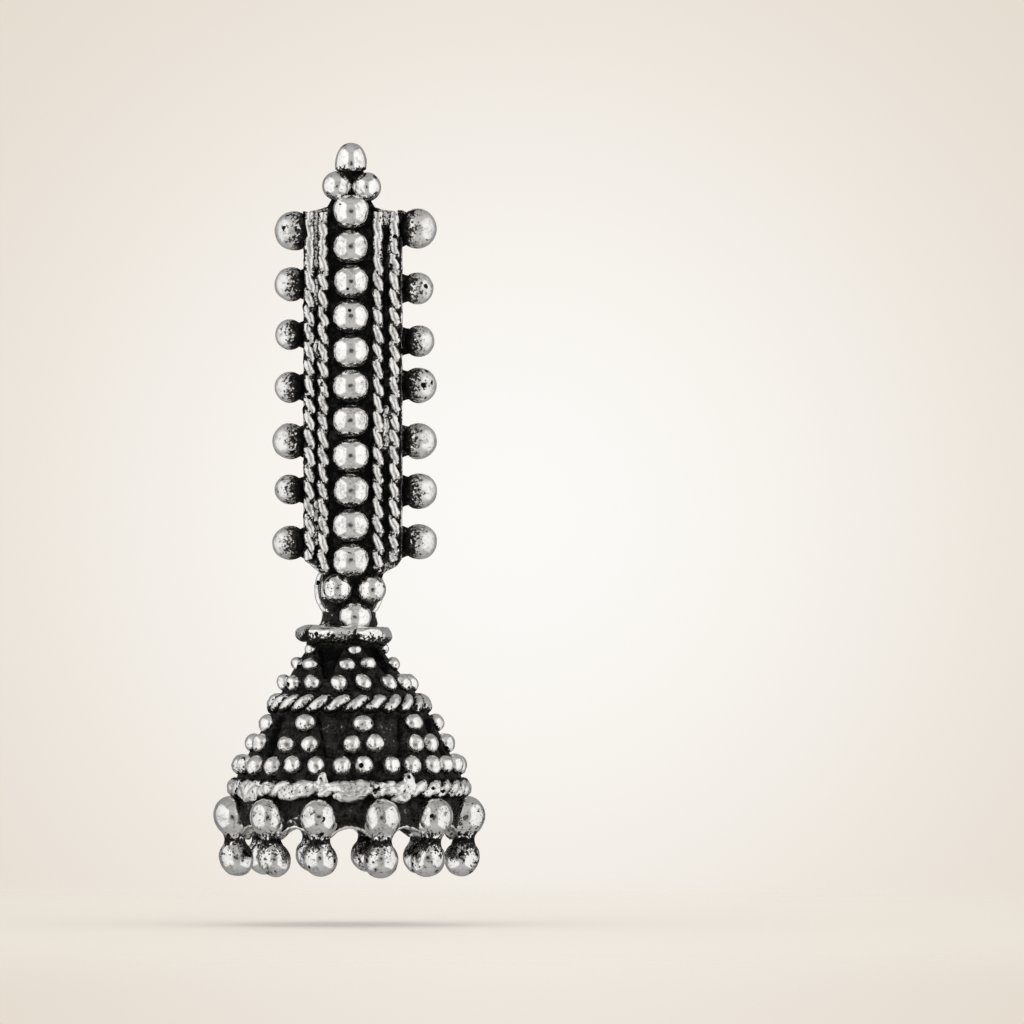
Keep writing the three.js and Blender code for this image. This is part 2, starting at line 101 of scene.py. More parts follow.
class Number:
    """A number socket that adds a Math node for each operator used on it."""

    def __init__(self, nodes: "Nodes", socket: bpy.types.NodeSocket) -> None:
        """Keeps the socket with the nodes that it belongs to."""
        self.nodes, self.socket = nodes, socket

    def _math(self, operation: str, *values: Any) -> "Number":
        """Result of a Math node on up to three values."""
        inputs = dict(enumerate(values))
        return self.nodes.number("ShaderNodeMath", {"operation": operation}, inputs)

    def __add__(self, other: Any) -> "Number":
        """Sum."""
        return self._math("ADD", self, other)

    def __sub__(self, other: Any) -> "Number":
        """Difference."""
        return self._math("SUBTRACT", self, other)

    def __rsub__(self, other: Any) -> "Number":
        """Difference from a plain number."""
        return self._math("SUBTRACT", other, self)

    def __mul__(self, other: Any) -> "Number":
        """Product."""
        return self._math("MULTIPLY", self, other)

    def __truediv__(self, other: Any) -> "Number":
        """Quotient."""
        return self._math("DIVIDE", self, other)

    def __rtruediv__(self, other: Any) -> "Number":
        """Quotient of a plain number."""
        return self._math("DIVIDE", other, self)

    __radd__ = __add__
    __rmul__ = __mul__

    def sin(self) -> "Number":
        """Sine of an angle in radians."""
        return self._math("SINE", self)

    def cos(self) -> "Number":
        """Cosine of an angle in radians."""
        return self._math("COSINE", self)

    def root(self) -> "Number":
        """Square root."""
        return self._math("SQRT", self)

    def floor(self) -> "Number":
        """Whole part."""
        return self._math("FLOOR", self)

    def between(self, low: Any, high: Any) -> "Number":
        """Smooth step from 0 where it is low to 1 where it is high."""
        settings = {"interpolation_type": "SMOOTHSTEP"}
        return self.nodes.number("ShaderNodeMapRange", settings, {0: self, 1: low, 2: high})


class Nodes:
    """Adds nodes to one tree."""

    def __init__(self, tree: bpy.types.NodeTree) -> None:
        """Empties the tree."""
        self.tree = tree
        tree.nodes.clear()

    def add(
        self, kind: str, settings: dict[str, Any] | None = None, inputs: dict[Any, Any] | None = None
    ) -> bpy.types.Node:
        """Adds one node.

        Args:
            kind: The node's type.
            settings: Its own settings, and a colour ramp's stops under "stops".
            inputs: Values or links of its sockets, by name or number.

        Returns:
            The node.
        """
        node = self.tree.nodes.new(kind)
        for name, value in (settings or {}).items():
            if name == "stops":
                ramp = node.color_ramp.elements
                while len(ramp) < len(value):
                    ramp.new(1)
                for stop, (place, colour) in zip(ramp, value):
                    stop.position, stop.color = place, colour
            else:
                setattr(node, name, value)
        for key, value in (inputs or {}).items():
            self.feed(self.socket(node.inputs, key), value)
        return node

    def feed(self, socket: bpy.types.NodeSocket, value: Any) -> None:
        """Links a socket to a Number or a socket, or else sets its value."""
        source = value.socket if isinstance(value, Number) else value
        if isinstance(source, bpy.types.NodeSocket):
            self.tree.links.new(source, socket)
        else:
            socket.default_value = value

    @staticmethod
    def socket(sockets: Any, key: Any) -> bpy.types.NodeSocket:
        """The socket of a number, or the one in use of a name."""
        if isinstance(key, int):
            return sockets[key]
        return next(s for s in sockets if s.name == key and s.enabled)

    def output(self, kind: str, settings: Any = None, inputs: Any = None, key: Any = 0) -> Any:
        """Output socket of a new node."""
        return self.socket(self.add(kind, settings, inputs).outputs, key)

    def number(self, kind: str, settings: Any = None, inputs: Any = None, key: Any = 0) -> Number:
        """Output of a new node as a Number."""
        return Number(self, self.output(kind, settings, inputs, key))

    def attribute(self, name: str) -> Number:
        """An attribute of the mesh as a Number of a shader."""
        return self.number("ShaderNodeAttribute", {"attribute_name": name}, key="Fac")

    def vector(self, x: Any, y: Any, z: Any) -> Any:
        """A vector of three values."""
        return self.output("ShaderNodeCombineXYZ", None, {0: x, 1: y, 2: z})

    def mixed(self, share: Any, first: Any, second: Any) -> Any:
        """A colour mixed from two."""
        inputs = {0: share, 6: first, 7: second}
        return self.output("ShaderNodeMix", {"data_type": "RGBA"}, inputs, key=2)

    def noise(self, place: Any, size: float, detail: float, roughness: float = 0.5) -> Number:
        """Noise with features of a size in millimetres."""
        inputs = {"Vector": place, "Scale": 1 / (size * METRES), "Detail": detail, "Roughness": roughness}
        return self.number("ShaderNodeTexNoise", None, inputs, "Fac")

    def bump(self, strength: float, relief: float, height: Number) -> Any:
        """Normal of a relief whose height is in millimetres."""
        inputs = {"Strength": strength, "Distance": relief * METRES, "Height": height}
        return self.output("ShaderNodeBump", None, inputs)


# Finishes


SILVER_TINT = (1.0, 0.99, 0.97)
GRIME_TINT = (1.0, 0.98, 0.95)


def tinted(tone: float, tint: tuple[float, float, float]) -> tuple[float, ...]:
    """Colour of a brightness and a tint."""
    return tuple(tone * part for part in tint) + (1,)


def new_material(name: str) -> tuple[bpy.types.Material, Nodes]:
    """An empty material and its nodes."""
    made = bpy.data.materials.new(name)
    made.use_nodes = True
    return made, Nodes(made.node_tree)


@dataclass(frozen=True)
class OxidisedSilver:
    """Cast silver, blackened and then polished where it stands proud."""

    name: str
    threshold: float = 0.5  # wear at which the polish starts
    softness: float = 0.07
    blotch: float = 0.8
    blotch_size: float = 0.7
    speckle: float = 1.5
    speckle_size: float = 0.2
    pits: float = 0.8
    pit_spacing: float = 1.1
    bright: float = 0.88
    dull: float = 0.48
    polish: float = 0.09
    satin: float = 0.26
    oxide: float = 0.002
    grime: float = 0.036  # how pale the oxide is where it starts to rub off
    oxide_roughness: float = 0.5
    relief: float = 0.03
    bump_strength: float = 0.55
    part_tone: float = 0.16  # by how much the wear of one copied part differs from another's
    noise_roughness: float = 0.6
    cloud_size: float = 2.2  # pits keep to patches of this size
    cloud_edge: tuple[float, float] = (0.46, 0.56)
    pit_edge: tuple[float, float] = (0.13, 0.23)
    mottle_edge: tuple[float, float] = (0.33, 0.54)
    rub_edge: tuple[float, float] = (0.05, 0.5)

    def material(self) -> bpy.types.Material:
        """Builds the material."""
        made, nodes = new_material(self.name)
        place = nodes.output("ShaderNodeTexCoord", key="Object")
        blotches = nodes.noise(place, self.blotch_size, 3.0, self.noise_roughness)
        speckles = nodes.noise(place, self.speckle_size, 2.0, self.noise_roughness)
        cloud = nodes.noise(place, self.cloud_size, 2.0, self.noise_roughness)
        inputs = {"Vector": place, "Scale": 1 / (self.pit_spacing * METRES), "Randomness": 1.0}
        cells = nodes.number("ShaderNodeTexVoronoi", None, inputs, "Distance")
        pit = (1 - cells.between(*self.pit_edge)) * cloud.between(*self.cloud_edge)
        wear = nodes.attribute(WORN) + (nodes.attribute(TONE) - 0.5) * self.part_tone
        wear = wear + (blotches - 0.5) * self.blotch + (speckles - 0.5) * self.speckle
        wear = wear - pit * self.pits
        shine = wear.between(self.threshold - self.softness, self.threshold + self.softness)
        mottling = (blotches * 0.6 + speckles * 0.4).between(*self.mottle_edge)
        silver = nodes.mixed(mottling, tinted(self.dull, SILVER_TINT), tinted(self.bright, SILVER_TINT))
        rubbed = wear.between(*self.rub_edge)
        black = nodes.mixed(rubbed, (self.oxide,) * 3 + (1,), tinted(self.grime, GRIME_TINT))
        rough = self.polish + (1 - blotches) * (self.satin - self.polish)
        rough = self.oxide_roughness + (rough - self.oxide_roughness) * shine
        height = shine * 0.6 + (1.15 - shine) * (speckles * 0.5 + blotches * 0.4)
        bump = nodes.bump(self.bump_strength, self.relief, height)
        shader = nodes.output(
            "ShaderNodeBsdfPrincipled",
            None,
            {
                "Base Color": nodes.mixed(shine, black, silver),
                "Metallic": shine,
                "Roughness": rough,
                "Specular IOR Level": 0.05,
                "Normal": bump,
            },
        )
        nodes.add("ShaderNodeOutputMaterial", None, {"Surface": shader})
        return made


@dataclass(frozen=True)
class PlainSilver:
    """Drawn silver wire, polished all over."""

    name: str
    tone: float = 0.86
    roughness: float = 0.2
    roughness_range: float = 0.25
    scratch_size: float = 0.3
    relief: float = 0.008
    bump_strength: float = 0.4
    tarnish_share: float = 0.7  # brightness of the tarnish in the silver's

    def material(self) -> bpy.types.Material:
        """Builds the material."""
        made, nodes = new_material(self.name)
        place = nodes.output("ShaderNodeTexCoord", key="Object")
        grain = nodes.noise(place, self.scratch_size, 4.0)
        bump = nodes.bump(self.bump_strength, self.relief, grain)
        silver = tinted(self.tone, SILVER_TINT)
        tarnish = tinted(self.tone * self.tarnish_share, SILVER_TINT)
        shader = nodes.output(
            "ShaderNodeBsdfPrincipled",
            None,
            {
                "Base Color": nodes.mixed(grain.between(0.35, 0.65), tarnish, silver),
                "Metallic": 1.0,
                "Roughness": self.roughness + (grain - 0.5) * self.roughness_range,
                "Normal": bump,
            },
        )
        nodes.add("ShaderNodeOutputMaterial", None, {"Surface": shader})
        return made


# Meshes


@dataclass
class Surface:
    """A closed skin of corners and faces, with the wear at each corner."""

    points: np.ndarray
    faces: list[list[int]]
    worn: np.ndarray

    def object(self, name: str) -> bpy.types.Object:
        """The surface as a Blender object, its faces turned outwards."""
        mesh = bpy.data.meshes.new(name)
        mesh.from_pydata(self.points.tolist(), [], self.faces)
        shell = bmesh.new()
        shell.from_mesh(mesh)
        bmesh.ops.recalc_face_normals(shell, faces=shell.faces)
        shell.to_mesh(mesh)
        shell.free()
        mesh.polygons.foreach_set("use_smooth", [True] * len(mesh.polygons))
        for label, values in ((WORN, self.worn), (TONE, np.full(len(self.points), 0.5))):
            mesh.attributes.new(label, "FLOAT", "POINT").data.foreach_set("value", values)
        return linked(name, mesh)


def lofted(rings: np.ndarray, wear: Wear, closed: bool = False) -> Surface:
    """Skin over rings of corners.

    Args:
        rings: Corners by ring and place in the ring.
        wear: Wear at each corner from its place.
        closed: Whether the last ring joins the first. Otherwise each end is closed by a fan.

    Returns:
        The surface.
    """
    count, around = rings.shape[:2]
    index = np.arange(count * around).reshape(count, around)
    beside = np.roll(index, -1, axis=1)
    last = count if closed else count - 1
    rows = np.arange(last)
    after = (rows + 1) % count
    quads = np.stack([index[rows], beside[rows], beside[after], index[after]], axis=-1)
    points = rings.reshape(-1, 3)
    faces = quads.reshape(-1, 4).tolist()
    if not closed:
        points = np.vstack([points, rings[0].mean(axis=0), rings[-1].mean(axis=0)])
        for ring, middle in ((0, count * around), (count - 1, count * around + 1)):
            faces += [[int(a), int(b), middle] for a, b in zip(index[ring], beside[ring])]
    return Surface(points, faces, wear(points))


def turned(profile: np.ndarray, sides: int, wear: Wear) -> Surface:
    """Skin turned about Z from an outline of radius and height."""
    turn = steps_round(sides)
    radius, height = profile[:, :1], profile[:, 1:]
    rings = np.stack(
        [radius * np.sin(turn), -radius * np.cos(turn), height * np.ones_like(turn)], axis=-1
    )
    return lofted(rings, wear)


def torus(radius: float, half: float, steps: int, sides: int) -> tuple[np.ndarray, ...]:
    """Round wire bent to a ring.

    Args:
        radius: From the ring's centre to the middle of its wire.
        half: Half of the wire's thickness.
        steps: Sections round the ring.
        sides: Corners of a section.

    Returns:
        Sine part, cosine part and way across, each by section and corner.
    """
    turn, section = steps_round(steps)[:, None], steps_round(sides)
    far = radius + half * np.cos(section)
    across = np.broadcast_to(half * np.sin(section), (steps, sides))
    return far * np.sin(turn), far * np.cos(turn), across


def ball(sides: int, bands: int, wear: Wear) -> Surface:
    """Ball of unit diameter, its poles in front and behind, whose wear sees it at unit radius."""
    angle = np.linspace(0.02, math.pi - 0.02, bands)
    made = turned(np.stack([np.sin(angle), np.cos(angle)], axis=1) / 2, sides, lambda at: at[:, 0])
    points = made.points[:, [0, 2, 1]] * [1, -1, 1]
    return Surface(points, made.faces, wear(2 * points))


# Trees that repeat cast parts and twist wires


class CastTree(Nodes):
    """A Geometry Nodes tree that ends in an uneven cast skin with its material."""

    LUMP_SIZE = "Lump size"
    LUMP = "Lump height"
    MATERIAL = "Material"

    def __init__(self, name: str, sizes: dict[str, str]) -> None:
        """Makes the tree with its named inputs, from a name to a socket type."""
        super().__init__(bpy.data.node_groups.new(name, "GeometryNodeTree"))
        sizes = {"Geometry": "Geometry", **sizes}
        sizes |= {self.LUMP: "Float", self.LUMP_SIZE: "Float", self.MATERIAL: "Material"}
        self.identifiers = {
            label: self.tree.interface.new_socket(
                label, in_out="INPUT", socket_type="NodeSocket" + kind
            ).identifier
            for label, kind in sizes.items()
        }
        self.tree.interface.new_socket("Geometry", in_out="OUTPUT", socket_type="NodeSocketGeometry")
        self.given = self.add("NodeGroupInput")

    def size(self, name: str) -> Number:
        """A named input as a Number."""
        return Number(self, self.given.outputs[name])

    def index(self) -> Number:
        """Number of each point."""
        return self.number("GeometryNodeInputIndex")

    def rolled(self, low: Any, high: Any, seed: int) -> Number:
        """A random number for each point."""
        inputs = {"Min": low, "Max": high, "Seed": seed}
        return self.number("FunctionNodeRandomValue", {"data_type": "FLOAT"}, inputs, "Value")

    def parts_on(self, points: Any, rotation: Any, size: Any, uneven: Any) -> Any:
        """Puts the named part on every point and makes the copies real.

        Args:
            points: Geometry of points.
            rotation: Turn of each part about X, Y and Z.
            size: Size of each part.
            uneven: Share by which sizes differ.

        Returns:
            Geometry of the real copies.
        """
        part = self.output(
            "GeometryNodeObjectInfo", None, {"Object": self.given.outputs["Part"]}, "Geometry"
        )
        scale = self.output(
            "ShaderNodeVectorMath", {"operation": "MULTIPLY"}, {0: size, 1: self.uneven_size(uneven)}
        )
        turned_by = self.output("FunctionNodeEulerToRotation", None, {0: rotation})
        copies = self.output(
            "GeometryNodeInstanceOnPoints",
            None,
            {"Points": points, "Instance": part, "Rotation": turned_by, "Scale": scale},
        )
        toned = self.output(
            "GeometryNodeStoreNamedAttribute",
            {"data_type": "FLOAT", "domain": "INSTANCE"},
            {"Geometry": copies, "Name": TONE + "_part", "Value": self.rolled(0.0, 1.0, 7)},
        )
        real = self.output("GeometryNodeRealizeInstances", None, {"Geometry": toned})
        tone = self.output(
            "GeometryNodeInputNamedAttribute", {"data_type": "FLOAT"}, {"Name": TONE + "_part"}
        )
        return self.stored(real, TONE, tone)

    def uneven_size(self, uneven: Any) -> Any:
        """Three random shares about 1."""
        shares = [self.rolled(1 - uneven, 1 + uneven, seed) for seed in (1, 2, 3)]
        return self.vector(*shares)

    def stored(self, geometry: Any, name: str, value: Any) -> Any:
        """Geometry with a number kept at each corner."""
        return self.output(
            "GeometryNodeStoreNamedAttribute",
            {"data_type": "FLOAT", "domain": "POINT"},
            {"Geometry": geometry, "Name": name, "Value": value},
        )

    def cast(self, geometry: Any) -> None:
        """Gives the geometry its uneven cast skin and material, and ends the tree."""
        place = self.output("GeometryNodeInputPosition")
        lumps = self.output(
            "ShaderNodeTexNoise",
            None,
            {"Vector": place, "Scale": 1 / self.size(self.LUMP_SIZE), "Detail": 1.5},
            "Color",
        )
        centred = self.output(
            "ShaderNodeVectorMath", {"operation": "SUBTRACT"}, {0: lumps, 1: (0.5, 0.5, 0.5)}
        )
        shift = self.output(
            "ShaderNodeVectorMath", {"operation": "SCALE"}, {0: centred, "Scale": self.size(self.LUMP)}
        )
        real = self.output("GeometryNodeRealizeInstances", None, {"Geometry": geometry})
        moved = self.output("GeometryNodeSetPosition", None, {"Geometry": real, "Offset": shift})
        smooth = self.output("GeometryNodeSetShadeSmooth", None, {"Geometry": moved})
        dressed = self.output(
            "GeometryNodeSetMaterial",
            None,
            {"Geometry": smooth, "Material": self.given.outputs[self.MATERIAL]},
        )
        self.add("NodeGroupOutput", None, {"Geometry": dressed})

    def grow(
        self, name: str, sizes: dict[str, Any], base: bpy.types.Object | None = None
    ) -> bpy.types.Object:
        """Runs the tree and keeps what it makes as a plain mesh.

        Args:
            name: Name of the made object.
            sizes: Values of the named inputs.
            base: Object whose mesh the tree starts from, if it needs one.

        Returns:
            The made object.
        """
        if base is None:
            base = linked(name, bpy.data.meshes.new(name))
        modifier = base.modifiers.new(self.tree.name, "NODES")
        modifier.node_group = self.tree
        for label, value in sizes.items():
            modifier[self.identifiers[label]] = value
        graph = bpy.context.evaluated_depsgraph_get()
        mesh = bpy.data.meshes.new_from_object(
            base.evaluated_get(graph), preserve_all_data_layers=True, depsgraph=graph
        )
        base.modifiers.remove(modifier)
        base.data = mesh
        base.name = mesh.name = name
        return base


TURN_SHARE = 0.3  # unevenness of a ring's turns, in radians, as a share of that of its sizes
LINE_TILT = 0.12  # radians by which a part in a line leans aside


def ring_tree() -> CastTree:
    """Tree that sets one part round the Z axis, facing out."""
    sizes = {"Part": "Object", "Count": "Int", "Radius": "Float", "Height": "Float"}
    sizes |= {"First turn": "Float", "Lean": "Float", "Size": "Vector", "Uneven": "Float"}
    sizes |= {"In a motif": "Int", "Apart": "Float"}
    tree = CastTree("parts_in_a_ring", sizes)
    group = tree.size("In a motif")
    motif = (tree.index() / group + 0.001).floor()
    offset = (tree.index() - motif * group - (group - 1) * 0.5) * tree.size("Apart")
    turn = tree.size("First turn") + (motif + offset) * group * FULL_TURN / tree.size("Count")
    turn = turn + tree.rolled(-1.0, 1.0, 4) * tree.size("Uneven") * TURN_SHARE
    radius = tree.size("Radius")
    up = tree.size("Height") + tree.rolled(-1.0, 1.0, 5) * tree.size("Uneven")
    place = tree.vector(turn.sin() * radius, turn.cos() * radius * -1, up)
    points = tree.output(
        "GeometryNodePoints", None, {"Count": tree.size("Count"), "Position": place}
    )
    rotation = tree.vector(tree.size("Lean") * -1, 0.0, turn)
    tree.cast(tree.parts_on(points, rotation, tree.given.outputs["Size"], tree.size("Uneven")))
    return tree


def line_tree() -> CastTree:
    """Tree that sets one part at even steps down a straight line."""
    sizes = {"Part": "Object", "Count": "Int", "Start": "Vector", "Step": "Float"}
    sizes |= {"Size": "Vector", "Uneven": "Float"}
    tree = CastTree("parts_in_a_line", sizes)
    down = tree.vector(
        tree.rolled(-1.0, 1.0, 4) * tree.size("Uneven"), 0.0, tree.index() * tree.size("Step") * -1
    )
    place = tree.output(
        "ShaderNodeVectorMath", {"operation": "ADD"}, {0: tree.given.outputs["Start"], 1: down}
    )
    points = tree.output(
        "GeometryNodePoints", None, {"Count": tree.size("Count"), "Position": place}
    )
    rotation = tree.vector(0.0, tree.rolled(-LINE_TILT, LINE_TILT, 6), 0.0)
    tree.cast(tree.parts_on(points, rotation, tree.given.outputs["Size"], tree.size("Uneven")))
    return tree


def places_tree() -> CastTree:
    """Tree that sets one part at each corner of a mesh, with the sizes kept there."""
    tree = CastTree("parts_at_places", {"Part": "Object", "Uneven": "Float"})
    points = tree.output(
        "GeometryNodeMeshToPoints", None, {"Mesh": tree.given.outputs["Geometry"]}
    )
    size, rotation = (
        tree.output("GeometryNodeInputNamedAttribute", {"data_type": "FLOAT_VECTOR"}, {"Name": name})
        for name in ("size", "turn")
    )
    tree.cast(tree.parts_on(points, rotation, size, tree.size("Uneven")))
    return tree


def skin_tree() -> CastTree:
    """Tree that only gives a mesh the uneven cast skin."""
    tree = CastTree("cast_skin", {})
    tree.cast(tree.given.outputs["Geometry"])
    return tree


TWIST_WEAR = -0.34  # wear of a twisted wire at its middle
TWIST_WEAR_RISE = 1.3  # and by how much it is greater at its front


def twisted(tree: CastTree, path: Callable[[Number, Number], tuple[Any, Any]], out: Number) -> None:
    """Ends a tree with two strands that wind round each other.

    Args:
        tree: Tree with the inputs Points, Strand and Thickness.
        path: Place and strand radius from the share of the length and the strand's number.
        out: How far a corner stands out, as a share of the wire's half thickness.
    """
    count = tree.size("Points")
    strands = []
    for strand in (0.0, 1.0):
        line = tree.output("GeometryNodeCurvePrimitiveLine")
        points = tree.output(
            "GeometryNodeResampleCurve", {"mode": "COUNT"}, {"Curve": line, "Count": count}
        )
        place, radius = path(tree.index() / (count - 1), strand)
        moved = tree.output("GeometryNodeSetPosition", None, {"Geometry": points, "Position": place})
        section = tree.output(
            "GeometryNodeCurvePrimitiveCircle", None, {"Resolution": 12, "Radius": 1.0}
        )
        strands.append(
            tree.output(
                "GeometryNodeCurveToMesh",
                None,
                {"Curve": moved, "Profile Curve": section, "Scale": radius, "Fill Caps": True},
            )
        )
    join = tree.add("GeometryNodeJoinGeometry")
    for strand in strands:
        tree.tree.links.new(strand, join.inputs[0])
    toned = tree.stored(join.outputs[0], TONE, 0.5)
    tree.cast(tree.stored(toned, WORN, out * TWIST_WEAR_RISE + TWIST_WEAR))


TWIST_SIZES = {
    "Points": "Int",
    "Strand": "Float",
    "Winding": "Float",
    "Crossings": "Float",
    "Strand height": "Float",
}


def wire_tree() -> CastTree:
    """Tree of a straight twisted wire that runs down, melted smooth over a length at its top."""
    sizes = TWIST_SIZES | {"Top": "Vector", "Length": "Float", "Melted": "Float"}
    tree = CastTree("twisted_wire", sizes)
    top = tree.add("ShaderNodeSeparateXYZ", None, {0: tree.given.outputs["Top"]})
    x, y, z = (Number(tree, top.outputs[n]) for n in range(3))

    def path(share: Number, strand: float) -> tuple[Any, Any]:
        """Place and radius of a strand at a share of the length."""
        down = share * tree.size("Length")
        loose = down.between(tree.size("Melted") * 0.7, tree.size("Melted") * 1.3)
        turn = share * tree.size("Crossings") * math.pi + strand * math.pi
        wind = tree.size("Winding") * (0.3 + 0.7 * loose)
        place = tree.vector(x + turn.sin() * wind, y - turn.cos() * wind, z - down)
        return place, tree.size("Strand") * (1.25 - 0.25 * loose)

    at = tree.add("ShaderNodeSeparateXYZ", None, {0: tree.output("GeometryNodeInputPosition")})
    half = tree.size("Strand") + tree.size("Winding")
    twisted(tree, path, (y - Number(tree, at.outputs[1])) / half)
    return tree


def rope_tree() -> CastTree:
    """Tree of a twisted rope laid round a cone about the Z axis."""
    sizes = TWIST_SIZES | {"Radius": "Float", "Height": "Float", "Lean": "Float"}
    tree = CastTree("twisted_rope", sizes)
    radius, height, lean = (tree.size(name) for name in ("Radius", "Height", "Lean"))

    def path(share: Number, strand: float) -> tuple[Any, Any]:
        """Place and radius of a strand at a share of the way round, from the back."""
        around = share * FULL_TURN + math.pi
        turn = share * tree.size("Crossings") * math.pi + strand * math.pi
        out = turn.cos() * tree.size("Winding")
        up = turn.sin() * tree.size("Strand height")
        far = radius + out * lean.cos() - up * lean.sin()
        rise = height + out * lean.sin() + up * lean.cos()
        return tree.vector(around.sin() * far, around.cos() * far * -1, rise), tree.size("Strand")

    at = tree.add("ShaderNodeSeparateXYZ", None, {0: tree.output("GeometryNodeInputPosition")})
    x, y, z = (Number(tree, at.outputs[n]) for n in range(3))
    out = ((x * x + y * y).root() - radius) * lean.cos() + (z - height) * lean.sin()
    twisted(tree, path, out / (tree.size("Strand") + tree.size("Winding")))
    return tree


@dataclass
class Workshop:
    """The trees and finishes that the sub-assemblies share."""

    ring: CastTree
    line: CastTree
    places: CastTree
    skin: CastTree
    wire: CastTree
    rope: CastTree
    beads: bpy.types.Material
    satin: bpy.types.Material
    grains: bpy.types.Material
    drops: bpy.types.Material
    recess: bpy.types.Material
    drawn: bpy.types.Material

    PLACED_UNEVEN = 0.02  # share by which sizes of placed copies differ

    def uneven(self, lump: float, size: float, material: bpy.types.Material) -> dict[str, Any]:
        """Inputs of an uneven skin of one material."""
        return {CastTree.LUMP: lump, CastTree.LUMP_SIZE: size, CastTree.MATERIAL: material}

    def dressed(self, name: str, surface: Surface, skin: dict[str, Any]) -> bpy.types.Object:
        """A surface with an uneven skin."""
        return self.skin.grow(name, skin, surface.object(name))

    def placed(
        self, name: str, part: Surface, rows: list[Row], skin: dict[str, Any]
    ) -> bpy.types.Object:
        """Copies of a part at places of their own.

        Args:
            name: Name of the made object.
            part: Surface that is copied.
            rows: Place, size and turn of each copy.
            skin: Inputs of its uneven skin.

        Returns:
            The copies as one object.
        """
        copied = part.object(name + "_part")
        sizes = {"Part": copied, "Uneven": self.PLACED_UNEVEN} | skin
        made = self.places.grow(name, sizes, places_object(name, rows))
        bpy.data.objects.remove(copied)
        return made


def finished(
    name: str, parts: list[bpy.types.Object], body: Body, slot: Slot, node: str, aside: Vector
) -> bpy.types.Object:
    """Joins parts to one piece in metres that stands for a CAD node.

    Args:
        name: Name of the piece.
        parts: Objects at the origin, in millimetres.
        body: Body that the piece moves with.
        slot: Record slot of its finish. Not used.
        node: CAD node that it stands for.
        aside: Place of the parts' own origin, in millimetres.

    Returns:
        The piece.
    """
    shell = bmesh.new()
    materials: list[bpy.types.Material] = []
    for part in parts:
        offset = len(materials)
        materials += list(part.data.materials)
        first = len(shell.faces)
        shell.from_mesh(part.data)
        shell.faces.ensure_lookup_table()
        for face in shell.faces[first:]:
            face.material_index += offset
        bpy.data.objects.remove(part)
    kept = list(dict.fromkeys(materials))
    for face in shell.faces:
        face.material_index = kept.index(materials[face.material_index])
    mesh = bpy.data.meshes.new(name)
    shell.to_mesh(mesh)
    shell.free()
    for material in kept:
        mesh.materials.append(material)
    mesh.transform(Matrix.Scale(METRES, 4) @ Matrix.Translation(aside))
    piece = linked(name, mesh)
    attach(piece, body.value)
    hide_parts(node)
    triangles = sum(len(face.vertices) - 2 for face in mesh.polygons)
    log.info("%s: %d triangles on %s", name, triangles, body.value)
    return piece


def places_object(name: str, rows: list[Row]) -> bpy.types.Object:
    """Mesh of loose corners that keep a size and a turn."""
    mesh = bpy.data.meshes.new(name)
    mesh.from_pydata([tuple(row[0]) for row in rows], [], [])
    for column, label in ((1, "size"), (2, "turn")):
        values = np.array([tuple(row[column]) for row in rows], np.float32).ravel()
        mesh.attributes.new(label, "FLOAT_VECTOR", "POINT").data.foreach_set("vector", values)
    return linked(name, mesh)


# The ear plate


